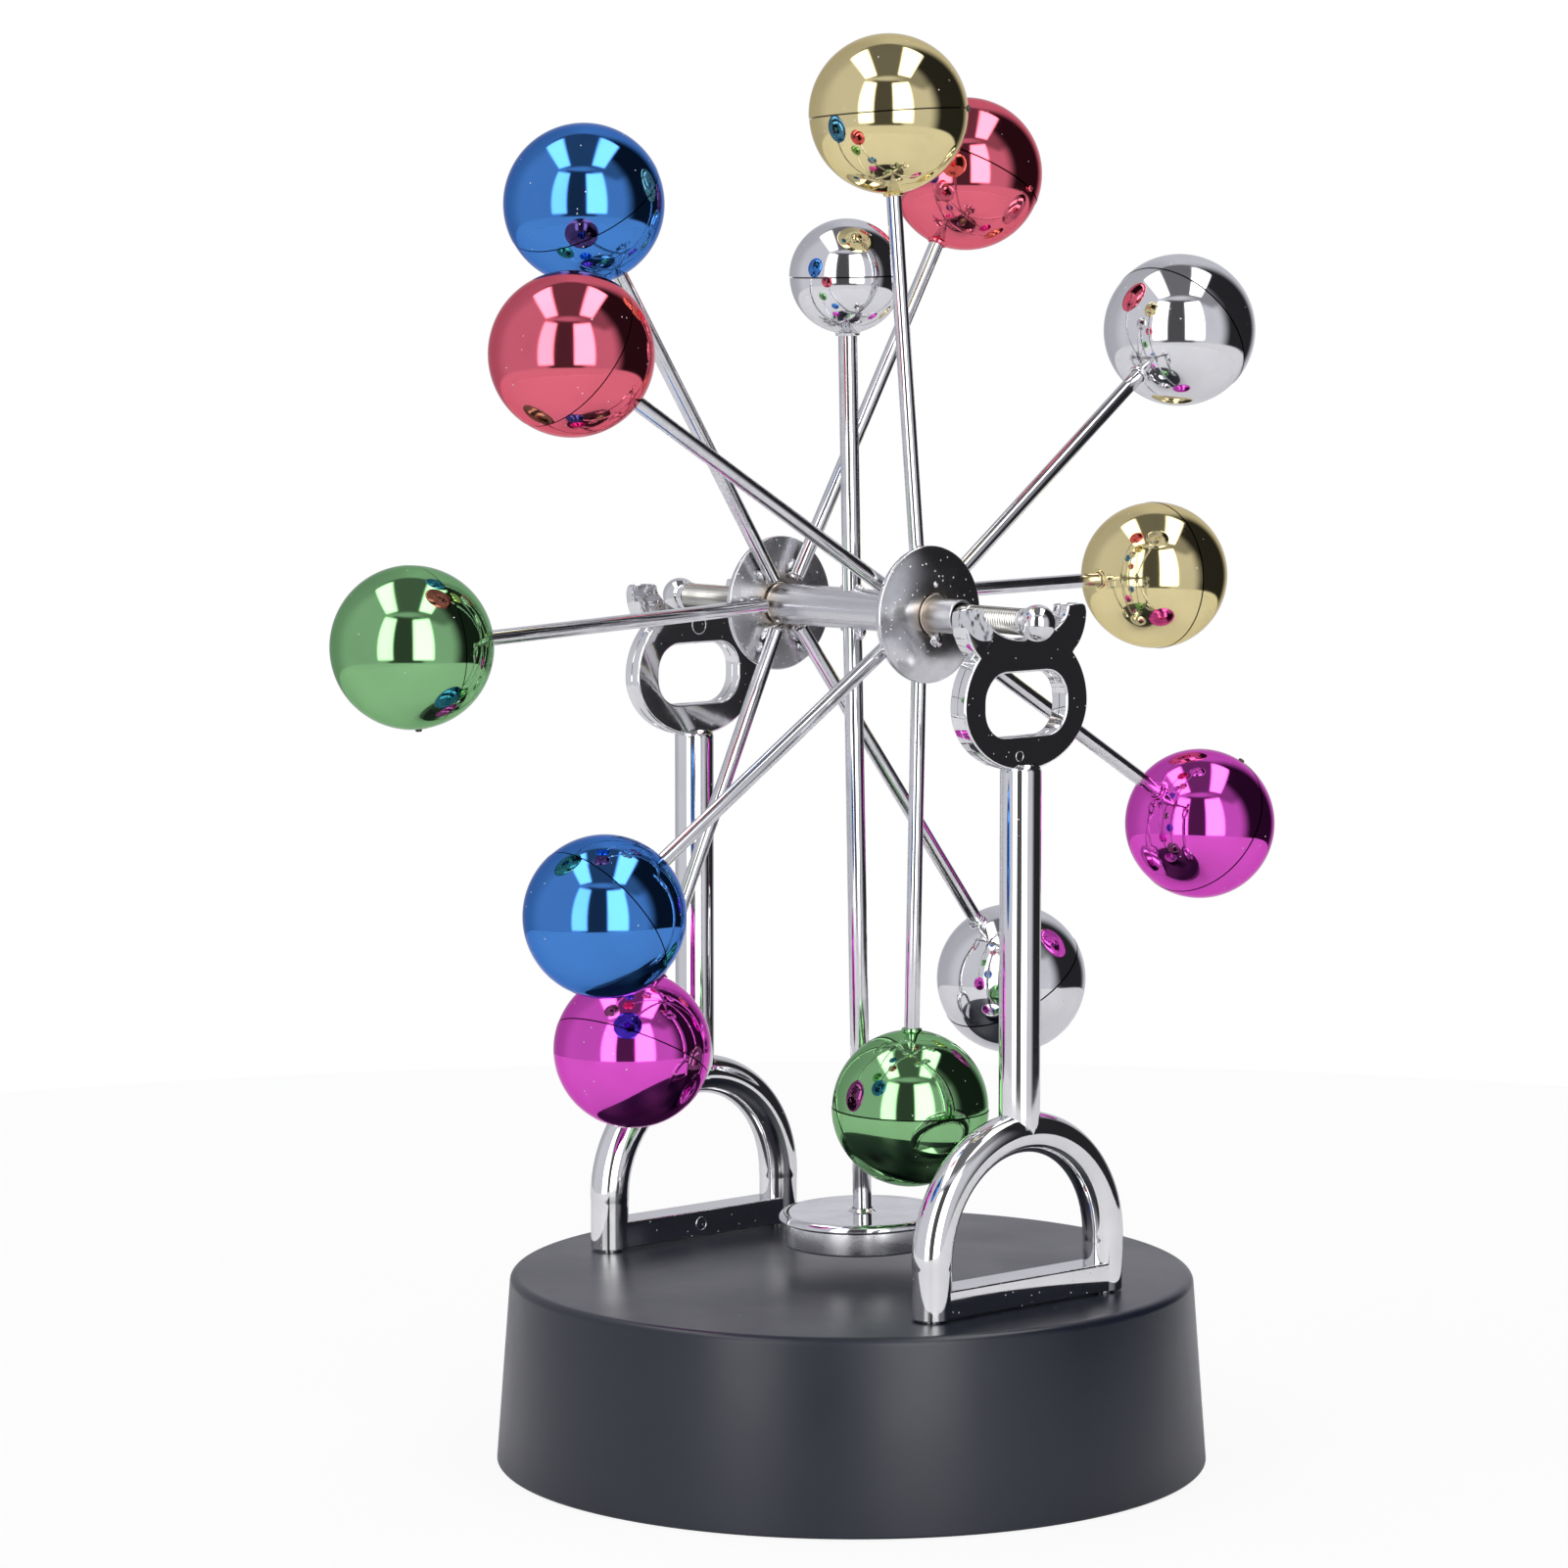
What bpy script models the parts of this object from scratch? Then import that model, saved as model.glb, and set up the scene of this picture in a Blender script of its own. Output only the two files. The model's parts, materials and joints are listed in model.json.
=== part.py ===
"""Magnetic desk sculpture: a two-wheel pendulum rotor on two chromed stands.

The rotor is one welded piece: a tube with two hub discs, six spokes on each
disc with a hollow ball on every spoke, and a pendulum rod with a magnet at its
foot.  Its threaded ends roll in open saddles on the stands.  A drive coil in
the round base pushes the magnet.  +Z is up, +X runs along the axle, and the
origin is on the table under the middle of the base.  Lengths are in metres.
"""

import math

import bmesh
import bpy
from mathutils import Matrix, Vector

MM = 0.001
GAP = 0.3 * MM

# Rotor: the axle's height and what is welded along it.
AXLE_Z = 132.1 * MM
TUBE_RADIUS = 3.15 * MM
TUBE_BORE = 2.35 * MM
TUBE_HALF_LENGTH = 24.5 * MM
STUD_RADIUS = 2.0 * MM
STUD_INNER_X = 6.0 * MM
NUT_RADIUS = 2.75 * MM
NUT_MOUTH_DEG = -33.0
NUT_X = 40.7 * MM
HUB_RADIUS = 10.4 * MM
HUB_INNER_X = 16.6 * MM
HUB_THICKNESS = 2.0 * MM

# Wheels: twelve spokes with a ball on each, the two wheels half a step apart.
SPOKE_RADIUS = 1.15 * MM
SPOKE_START = 4.6 * MM
SPOKE_INTO_BALL = 4.0 * MM
BALL_RADIUS = 12.0 * MM
BALL_WALL = 1.2 * MM
BALL_X = 10.85 * MM
REACH = 75.0 * MM
# Colour, angle in degrees from straight up towards +Y, reach past REACH, and
# distance outwards from BALL_X.  The spokes are welded by hand, so none of
# these is quite regular, and the green ball stands out past the pendulum rod.
FRONT_BALLS = (
    ("gold", 358.0, 0.0 * MM, 0.0 * MM),
    ("silver", 55.0, -2.0 * MM, 0.0 * MM),
    ("magenta", 119.5, 0.0 * MM, 0.0 * MM),
    ("green", 180.5, 0.5 * MM, 3.2 * MM),
    ("blue", 234.5, -3.5 * MM, 0.0 * MM),
    ("red", 302.0, 0.5 * MM, 0.0 * MM),
)
REAR_BALLS = (
    ("red", 27.0, -0.5 * MM, 0.0 * MM),
    ("gold", 89.0, 1.5 * MM, 0.0 * MM),
    ("silver", 144.5, 1.5 * MM, 0.0 * MM),
    ("magenta", 208.0, -0.5 * MM, 0.0 * MM),
    ("green", 268.0, 1.5 * MM, 0.0 * MM),
    ("blue", 324.5, 0.5 * MM, 0.0 * MM),
)

# Pendulum: it swings by a small angle from straight down.
SWING_DEG = -1.4
PENDULUM_RADIUS = 1.45 * MM
TOP_BALL_RADIUS = 8.75 * MM
TOP_BALL_REACH = 50.7 * MM
PLATE_RADIUS = 13.0 * MM
PLATE_TOP_REACH = 93.6 * MM
PLATE_THICKNESS = 2.2 * MM
MAGNET_RADIUS = 12.2 * MM
MAGNET_THICKNESS = 2.5 * MM

# Stands: a saddle plate on a stem on a D-shaped foot.
STAND_X = 37.3 * MM
STEM_RADIUS = 3.05 * MM
HEAD_THICKNESS = 3.3 * MM
HEAD_OFFSET_X = -0.4 * MM
HEAD_INTO_STEM = 1.2 * MM
HEAD_MIDDLE = -12.2 * MM
HEAD_HALF_WIDTH = 12.6 * MM
HEAD_LOWER = 9.8 * MM
HEAD_UPPER = 11.4 * MM
HORN_TOP = 2.25 * MM
NOTCH_DEG = 40.0
HORN_CENTRE = (6.0 * MM, 1.1 * MM)
HORN_HEIGHT = 7.2 * MM
HORN_START_DEG = -52.0
HORN_TIP = 0.6 * MM
HORN_OUTER = 12.4 * MM
SADDLE_HALF_WIDTH = 8.4 * MM
SADDLE_DEPTH = 4.75 * MM
SLOT_SIZE = (16.5 * MM, 9.6 * MM)
SLOT_CORNER = 4.2 * MM
ARCH_RADIUS = 17.7 * MM
ARCH_SECTION = 3.05 * MM
LEG_RADIUS = 2.75 * MM
LEG_HEIGHT = 8.2 * MM
BAR_HEIGHT = 4.3 * MM
PEG_RADIUS = 1.8 * MM
PEG_LENGTH = 6.0 * MM
BAR_SETBACK = 0.05 * MM

# Base: a drafted round shell over a screwed cover with a battery bay.
BASE_HEIGHT = 29.5 * MM
BASE_TOP_RADIUS = 53.0 * MM
BASE_FOOT_RADIUS = 55.0 * MM
BASE_CLEARANCE = 0.8 * MM
BASE_WALL = 2.2 * MM
BASE_ROOF = 2.5 * MM
TOP_FILLET = 1.4 * MM
FOOT_FILLET = 1.2 * MM
COVER_Z = 1.3 * MM
COVER_THICKNESS = 2.0 * MM
FOOT_PAD_RADIUS = 5.0 * MM
FOOT_PAD_THICKNESS = 1.0 * MM
FOOT_PAD_REACH = 45.0 * MM
FOOT_PAD_ANGLES = (60.0, 180.0, 300.0)
COVER_MARGIN = 0.5 * MM
SCREW_ANGLES = (0.0, 120.0, 240.0)
SCREW_REACH = 44.0 * MM
SCREW_RADIUS = 1.3 * MM
SCREW_HEAD_RADIUS = 2.7 * MM
SCREW_HEAD_THICKNESS = 1.2 * MM
SCREW_LENGTH = 8.0 * MM
BOSS_RADIUS = 3.6 * MM

# Battery bay: four AA cells side by side, open towards the table.
CELL_RADIUS = 7.1 * MM
CELL_LENGTH = 50.0 * MM
CELL_PITCH = 14.6 * MM
CELL_BUTTON_RADIUS = 2.7 * MM
CELL_BUTTON_HEIGHT = 1.2 * MM
CELL_AXIS_Z = 11.0 * MM
BAY_SIZE = (60.0 * MM, 58.0 * MM)
BAY_WALL = 1.5 * MM
BAY_ROOF_Z = 18.6 * MM
CONTACT_THICKNESS = 0.5 * MM
CONTACT_HEIGHT = 11.0 * MM
CONTACT_WIDTH = 10.0 * MM
DOOR_THICKNESS = 1.8 * MM
DOOR_MARGIN = 0.5 * MM
HINGE_RADIUS = 1.0 * MM
HINGE_RELIEF = 0.02 * MM
HINGE_MARGIN = 2.0 * MM

# Drive electronics above the bay.
BOBBIN_RADIUS = 16.0 * MM
BOBBIN_CORE = 5.0 * MM
BOBBIN_BORE = 2.5 * MM
BOBBIN_Z = 20.5 * MM
BOBBIN_HEIGHT = 6.1 * MM
FLANGE = 0.8 * MM
WINDING_RADIUS = 15.0 * MM
BOARD_SIZE = (14.0 * MM, 26.0 * MM, 1.6 * MM)
BOARD_X = 25.0 * MM
TRANSISTOR_SIZE = (3.6 * MM, 4.6 * MM, 3.8 * MM)

# How finely round shapes are faceted, and how far solids that are joined
# overlap, or a cutting tool runs past what it cuts.
WHEEL_SEGMENTS = 16
BOBBIN_SEGMENTS = 24
DISC_SEGMENTS = 32
PLATE_SEGMENTS = 40
FINE_SEGMENTS = 48
ROD_SEGMENTS = 12
ARCH_STEPS = 20
SHARP_DEG = 35.0
WELD_DISTANCE = 0.01 * MM
OVERLAP = 0.5 * MM
TOOL_MARGIN = 1.0 * MM

PLASTIC_COLOURS = {
    "gold": (0.62, 0.55, 0.25, 1.0),
    "silver": (0.82, 0.82, 0.84, 1.0),
    "magenta": (0.72, 0.03, 0.50, 1.0),
    "green": (0.10, 0.36, 0.13, 1.0),
    "blue": (0.02, 0.16, 0.55, 1.0),
    "red": (0.60, 0.05, 0.10, 1.0),
}


def clear_scene():
    for existing in list(bpy.data.objects):
        bpy.data.objects.remove(existing)


def material(name, colour, roughness, metallic):
    """A Principled material with one colour."""
    made = bpy.data.materials.new(name)
    made.use_nodes = True
    shader = made.node_tree.nodes["Principled BSDF"]
    shader.inputs["Base Color"].default_value = colour
    shader.inputs["Roughness"].default_value = roughness
    shader.inputs["Metallic"].default_value = metallic
    return made


def add_object(name, mesh, surface, matrix=None, parent=None):
    """Link a mesh as a named object, placed by a matrix under its parent."""
    made = bpy.data.objects.new(name, mesh)
    bpy.context.collection.objects.link(made)
    made.parent = parent
    made.matrix_local = matrix or Matrix.Identity(4)
    if not mesh.materials:
        mesh.materials.append(surface)
    return made


def finish_mesh(name, shape, smooth=True):
    """Turn a bmesh into a mesh with outward faces and sharp edges kept."""
    bmesh.ops.recalc_face_normals(shape, faces=shape.faces)
    mesh = bpy.data.meshes.new(name)
    shape.to_mesh(mesh)
    shape.free()
    if smooth:
        mesh.shade_smooth()
        mesh.set_sharp_from_angle(angle=math.radians(SHARP_DEG))
    return mesh


def lathe(name, profile, segments, ring=False):
    """Turn a profile of (radius, height) points about Z.

    An open profile starts and ends on the axis; a ring's profile closes.
    """
    shape = bmesh.new()
    points = [shape.verts.new((radius, 0.0, height)) for radius, height in profile]
    edges = [shape.edges.new(pair) for pair in zip(points, points[1:])]
    if ring:
        edges.append(shape.edges.new((points[-1], points[0])))
    bmesh.ops.spin(
        shape,
        geom=points + edges,
        axis=(0.0, 0.0, 1.0),
        cent=(0.0, 0.0, 0.0),
        angle=math.tau,
        steps=segments,
    )
    bmesh.ops.remove_doubles(shape, verts=shape.verts, dist=WELD_DISTANCE)
    return finish_mesh(name, shape)


def cylinder_mesh(name, radius, low, high, segments=ROD_SEGMENTS):
    profile = ((0.0, low), (radius, low), (radius, high), (0.0, high))
    return lathe(name, profile, segments)


def ring_mesh(name, inner, outer, low, high, segments):
    profile = ((inner, low), (outer, low), (outer, high), (inner, high))
    return lathe(name, profile, segments, ring=True)


def box_mesh(name, low, high):
    shape = bmesh.new()
    bmesh.ops.create_cube(shape, size=1.0)
    size = Vector(high) - Vector(low)
    middle = (Vector(high) + Vector(low)) / 2.0
    bmesh.ops.scale(shape, vec=size, verts=shape.verts)
    bmesh.ops.translate(shape, vec=middle, verts=shape.verts)
    return finish_mesh(name, shape, smooth=False)


def plate_mesh(name, outline, thickness):
    """Extrude an outline of (y, z) points along X, about the middle plane."""
    shape = bmesh.new()
    points = [shape.verts.new((-thickness / 2.0, y, z)) for y, z in outline]
    face = shape.faces.new(points)
    grown = bmesh.ops.extrude_face_region(shape, geom=[face])
    moved = [item for item in grown["geom"] if isinstance(item, bmesh.types.BMVert)]
    bmesh.ops.translate(shape, vec=(thickness, 0.0, 0.0), verts=moved)
    return finish_mesh(name, shape)


def combine(body, tool_mesh, operation, matrix=None):
    """Cut a shape out of a body, or join a shape to it, for good."""
    tool = bpy.data.objects.new("tool", tool_mesh)
    bpy.context.collection.objects.link(tool)
    placed = body.matrix_world @ (matrix or Matrix.Identity(4))
    tool.matrix_world = placed
    step = body.modifiers.new(operation.title(), "BOOLEAN")
    step.object = tool
    step.operation = operation
    bpy.context.view_layer.update()
    graph = bpy.context.evaluated_depsgraph_get()
    solid = bpy.data.meshes.new_from_object(body.evaluated_get(graph))
    body.modifiers.clear()
    body.data = solid
    bpy.data.objects.remove(tool)


def arc(centre, radii, start, end, steps):
    """Points along an ellipse from one angle to another, in degrees."""
    points = []
    for step in range(steps + 1):
        angle = math.radians(start + (end - start) * step / steps)
        y = centre[0] + radii[0] * math.cos(angle)
        z = centre[1] + radii[1] * math.sin(angle)
        points.append((y, z))
    return points


def direction(angle_degrees):
    """Unit vector in the wheel's plane, from +Z towards +Y."""
    angle = math.radians(angle_degrees)
    return Vector((0.0, math.sin(angle), math.cos(angle)))


def along(start, end):
    """Matrix at start whose Z points at end."""
    turn = (end - start).to_track_quat("Z", "Y").to_matrix().to_4x4()
    return Matrix.Translation(start) @ turn


def make_materials():
    surfaces = {
        "chrome": material("chrome", (0.80, 0.80, 0.82, 1.0), 0.08, 1.0),
        "nickel": material("nickel", (0.55, 0.55, 0.56, 1.0), 0.28, 1.0),
        "charcoal": material("charcoal", (0.045, 0.047, 0.060, 1.0), 0.45, 0.0),
        "rubber": material("rubber", (0.02, 0.02, 0.02, 1.0), 0.85, 0.0),
        "copper": material("copper", (0.60, 0.22, 0.08, 1.0), 0.30, 1.0),
        "bobbin": material("bobbin", (0.75, 0.74, 0.70, 1.0), 0.50, 0.0),
        "board": material("board", (0.04, 0.20, 0.08, 1.0), 0.50, 0.0),
        "cell": material("cell", (0.12, 0.12, 0.13, 1.0), 0.35, 0.0),
        "steel": material("steel", (0.45, 0.45, 0.46, 1.0), 0.35, 1.0),
    }
    for colour, value in PLASTIC_COLOURS.items():
        surfaces[colour] = material("ball_" + colour, value, 0.10, 1.0)
    return surfaces


def ball_profile():
    """Hollow ball about its centre, with the spoke's hole at the bottom."""
    hole = SPOKE_RADIUS + GAP
    inner = BALL_RADIUS - BALL_WALL
    outer_end = -math.degrees(math.acos(hole / BALL_RADIUS))
    inner_end = -math.degrees(math.acos(hole / inner))
    outside = arc((0.0, 0.0), (BALL_RADIUS, BALL_RADIUS), 90.0, outer_end, 8)
    inside = arc((0.0, 0.0), (inner, inner), inner_end, 90.0, 4)
    outside[0] = (0.0, BALL_RADIUS)
    inside[-1] = (0.0, inner)
    return outside + inside


def build_wheel(wheel, side, balls, surfaces, rotor):
    """Six spokes and balls on one side of the rotor; side is +1 or -1."""
    ball = lathe(wheel + "_ball", ball_profile(), WHEEL_SEGMENTS)
    hub_x = side * (HUB_INNER_X - GAP - SPOKE_RADIUS)
    for colour, angle, extra, lean in balls:
        outward = direction(angle)
        root = Vector((hub_x, 0.0, 0.0)) + outward * SPOKE_START
        centre = Vector((side * (BALL_X + lean), 0.0, 0.0)) + outward * (REACH + extra)
        place = along(root, centre)
        length = (centre - root).length
        reach = length - BALL_RADIUS + SPOKE_INTO_BALL
        spoke = cylinder_mesh("spoke", SPOKE_RADIUS, 0.0, reach)
        add_object(f"{wheel}_spoke_{colour}", spoke, surfaces["nickel"], place, rotor)
        skin = ball.copy()
        at_ball = place @ Matrix.Translation((0.0, 0.0, length))
        add_object(f"{wheel}_ball_{colour}", skin, surfaces[colour], at_ball, rotor)


def build_axle(surfaces, rotor):
    """Tube, threaded studs, ball nuts and hub discs, all along X."""
    lie = Matrix.Rotation(math.radians(90.0), 4, "Y")
    tube_mesh = ring_mesh(
        "axle_tube", TUBE_BORE, TUBE_RADIUS, -TUBE_HALF_LENGTH, TUBE_HALF_LENGTH, WHEEL_SEGMENTS
    )
    tube = add_object("axle_tube", tube_mesh, surfaces["nickel"], lie, rotor)
    bpy.context.view_layer.update()
    swing = Matrix.Rotation(math.radians(-SWING_DEG), 4, "X")
    bore = cylinder_mesh("bore", PENDULUM_RADIUS + GAP, -2.0 * TUBE_RADIUS, 2.0 * TUBE_RADIUS)
    combine(tube, bore, "DIFFERENCE", lie.inverted() @ swing)

    for wheel, side in (("front", 1.0), ("rear", -1.0)):
        turn = lie if side > 0.0 else Matrix.Rotation(math.radians(-90.0), 4, "Y")
        nut_face = NUT_X - NUT_RADIUS * 0.5
        stud = cylinder_mesh("stud", STUD_RADIUS, STUD_INNER_X, nut_face, WHEEL_SEGMENTS)
        add_object(f"{wheel}_axle_stud", stud, surfaces["nickel"], turn, rotor)
        nut = nut_mesh(nut_face)
        add_object(f"{wheel}_ball_nut", nut, surfaces["chrome"], turn, rotor)
        disc = ring_mesh(
            "hub_disc",
            TUBE_RADIUS + GAP,
            HUB_RADIUS,
            HUB_INNER_X,
            HUB_INNER_X + HUB_THICKNESS,
            DISC_SEGMENTS,
        )
        add_object(f"{wheel}_hub_disc", disc, surfaces["nickel"], turn, rotor)


def nut_mesh(stud_end):
    """Ball nut with a blind socket that the stud's end sits in."""
    socket = STUD_RADIUS + GAP
    seat = stud_end + GAP
    ball = arc((0.0, NUT_X), (NUT_RADIUS, NUT_RADIUS), 90.0, NUT_MOUTH_DEG, 7)
    ball[0] = (0.0, NUT_X + NUT_RADIUS)
    mouth = NUT_X - math.sqrt(NUT_RADIUS**2 - socket**2)
    profile = ball + [(socket, mouth), (socket, seat), (0.0, seat)]
    return lathe("ball_nut", profile, WHEEL_SEGMENTS)


def build_pendulum(surfaces, rotor):
    """Rod through the tube, small ball on top, plate and magnet at the foot."""
    swing = Matrix.Rotation(math.radians(-SWING_DEG), 4, "X")
    rod_top = TOP_BALL_REACH - TOP_BALL_RADIUS + SPOKE_INTO_BALL
    rod_foot = -(PLATE_TOP_REACH + PLATE_THICKNESS - GAP)
    rod = cylinder_mesh("pendulum_rod", PENDULUM_RADIUS, rod_foot, rod_top)
    add_object("pendulum_rod", rod, surfaces["nickel"], swing, rotor)

    hole = PENDULUM_RADIUS + GAP
    start = -math.degrees(math.acos(hole / TOP_BALL_RADIUS))
    sphere = arc((0.0, TOP_BALL_REACH), (TOP_BALL_RADIUS, TOP_BALL_RADIUS), 90.0, start, 9)
    sphere[0] = (0.0, TOP_BALL_REACH + TOP_BALL_RADIUS)
    sphere += [(hole, rod_top + GAP), (0.0, rod_top + GAP)]
    top = lathe("top_ball", sphere, WHEEL_SEGMENTS)
    add_object("top_ball", top, surfaces["silver"], swing, rotor)

    plate_top = -PLATE_TOP_REACH
    plate_low = plate_top - PLATE_THICKNESS
    plate = ring_mesh("weight_plate", hole, PLATE_RADIUS, plate_low, plate_top, PLATE_SEGMENTS)
    add_object("weight_plate", plate, surfaces["chrome"], swing, rotor)
    magnet_top = plate_low - GAP
    magnet_low = magnet_top - MAGNET_THICKNESS
    magnet = cylinder_mesh("drive_magnet", MAGNET_RADIUS, magnet_low, magnet_top, PLATE_SEGMENTS)
    add_object("drive_magnet", magnet, surfaces["nickel"], swing, rotor)


def head_outline():
    """Saddle plate's outline, from the bottom up one side and down the other."""
    middle = (0.0, HEAD_MIDDLE)
    lower = arc(middle, (HEAD_HALF_WIDTH, HEAD_LOWER), -90.0, 0.0, 7)
    upper = arc(middle, (HEAD_HALF_WIDTH, HEAD_UPPER), 0.0, NOTCH_DEG, 3)[1:]
    horn_radii = (HORN_OUTER - HORN_CENTRE[0], HORN_HEIGHT)
    horn = arc(HORN_CENTRE, horn_radii, HORN_START_DEG, 0.0, 4)
    tip = [(HORN_OUTER - HORN_TIP, HORN_TOP), (SADDLE_HALF_WIDTH, HORN_TOP)]
    saddle = arc((0.0, HORN_TOP), (SADDLE_HALF_WIDTH, SADDLE_DEPTH), 0.0, -90.0, 7)[1:]
    half = lower + upper + horn + tip + saddle
    mirrored = [(-y, z) for y, z in reversed(half[1:-1])]
    return half + mirrored


def slot_outline():
    """Rounded slot through the saddle plate, a little under its middle."""
    half_y = SLOT_SIZE[0] / 2.0 - SLOT_CORNER
    half_z = SLOT_SIZE[1] / 2.0 - SLOT_CORNER
    corner = (SLOT_CORNER, SLOT_CORNER)
    points = []
    for quarter, (side_y, side_z) in enumerate(((1, 1), (-1, 1), (-1, -1), (1, -1))):
        centre = (side_y * half_y, HEAD_MIDDLE + side_z * half_z)
        start = 90.0 * quarter
        points += arc(centre, corner, start, start + 90.0, 4)
    return points


def arch_mesh():
    """Half ring of round section standing on its two ends."""
    shape = bmesh.new()
    made = bmesh.ops.create_circle(shape, segments=WHEEL_SEGMENTS, radius=ARCH_SECTION, cap_ends=True)
    bmesh.ops.translate(shape, vec=(0.0, ARCH_RADIUS, 0.0), verts=made["verts"])
    bmesh.ops.spin(
        shape,
        geom=list(shape.faces) + list(shape.edges) + list(shape.verts),
        axis=(1.0, 0.0, 0.0),
        cent=(0.0, 0.0, 0.0),
        angle=math.pi,
        steps=ARCH_STEPS,
    )
    bmesh.ops.remove_doubles(shape, verts=shape.verts, dist=WELD_DISTANCE)
    return finish_mesh("arch", shape)


def build_stands(surfaces):
    """Two identical one-piece mouldings, on the front and the rear."""
    head = plate_mesh("stand", head_outline(), HEAD_THICKNESS)
    slot = plate_mesh("slot", slot_outline(), 2.0 * HEAD_THICKNESS)
    stand = add_object("front_stand", head, surfaces["chrome"])
    combine(stand, slot, "DIFFERENCE")

    foot = BASE_HEIGHT + GAP
    arch_z = foot + LEG_HEIGHT
    to_head = Matrix.Translation((-HEAD_OFFSET_X, 0.0, -AXLE_Z))
    stem_top = AXLE_Z + HEAD_MIDDLE - HEAD_LOWER + HEAD_INTO_STEM
    stem = cylinder_mesh("stem", STEM_RADIUS, arch_z + ARCH_RADIUS, stem_top, WHEEL_SEGMENTS)
    combine(stand, stem, "UNION", to_head)
    combine(stand, arch_mesh(), "UNION", to_head @ Matrix.Translation((0.0, 0.0, arch_z)))
    for side in (-1.0, 1.0):
        leg = cylinder_mesh("leg", LEG_RADIUS, foot, arch_z + OVERLAP, WHEEL_SEGMENTS)
        at_leg = Matrix.Translation((0.0, side * ARCH_RADIUS, 0.0))
        combine(stand, leg, "UNION", to_head @ at_leg)
        peg = cylinder_mesh("peg", PEG_RADIUS, foot - PEG_LENGTH, foot + TOOL_MARGIN)
        combine(stand, peg, "UNION", to_head @ at_leg)
    half_bar = LEG_RADIUS - BAR_SETBACK
    bar_low = (-half_bar, -ARCH_RADIUS, foot)
    bar_high = (half_bar, ARCH_RADIUS, foot + BAR_HEIGHT)
    combine(stand, box_mesh("bar", bar_low, bar_high), "UNION", to_head)
    stand.data.shade_smooth()
    stand.data.set_sharp_from_angle(angle=math.radians(SHARP_DEG))

    stand.location = (STAND_X + HEAD_OFFSET_X, 0.0, AXLE_Z)
    rear_place = Matrix.Translation((-STAND_X + HEAD_OFFSET_X, 0.0, AXLE_Z))
    add_object("rear_stand", stand.data.copy(), surfaces["chrome"], rear_place)


def build_shell(surfaces):
    """Drafted round cup, open below, with peg holes and screw bosses."""
    low = BASE_CLEARANCE
    top_corner = (BASE_TOP_RADIUS - TOP_FILLET, BASE_HEIGHT - TOP_FILLET)
    foot_corner = (BASE_FOOT_RADIUS - FOOT_FILLET, low + FOOT_FILLET)
    profile = [(0.0, BASE_HEIGHT)]
    profile += arc(top_corner, (TOP_FILLET, TOP_FILLET), 90.0, 0.0, 3)
    profile += arc(foot_corner, (FOOT_FILLET, FOOT_FILLET), 0.0, -90.0, 3)
    inner_foot = BASE_FOOT_RADIUS - BASE_WALL
    inner_top = BASE_TOP_RADIUS - BASE_WALL
    roof = BASE_HEIGHT - BASE_ROOF
    profile += [(inner_foot, low), (inner_top, roof), (0.0, roof)]
    shell = add_object("base_shell", lathe("base_shell", profile, FINE_SEGMENTS), surfaces["charcoal"])
    for side_x in (-1.0, 1.0):
        for side_y in (-1.0, 1.0):
            hole = cylinder_mesh("hole", PEG_RADIUS + GAP, roof - TOOL_MARGIN, BASE_HEIGHT + TOOL_MARGIN)
            place = Matrix.Translation((side_x * STAND_X, side_y * ARCH_RADIUS, 0.0))
            combine(shell, hole, "DIFFERENCE", place)
    boss_low = COVER_Z + COVER_THICKNESS + GAP
    for turn in screw_places():
        boss = cylinder_mesh("boss", BOSS_RADIUS, boss_low, roof + TOOL_MARGIN)
        combine(shell, boss, "UNION", turn)
        pilot_top = boss_low + SCREW_LENGTH
        pilot = cylinder_mesh("pilot", SCREW_RADIUS + GAP, boss_low - TOOL_MARGIN, pilot_top)
        combine(shell, pilot, "DIFFERENCE", turn)


def screw_places():
    """One place for each of three cover screws, clear of the bay."""
    places = []
    for angle in SCREW_ANGLES:
        turn = Matrix.Rotation(math.radians(angle), 4, "Z")
        places.append(turn @ Matrix.Translation((SCREW_REACH, 0.0, 0.0)))
    return places


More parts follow.
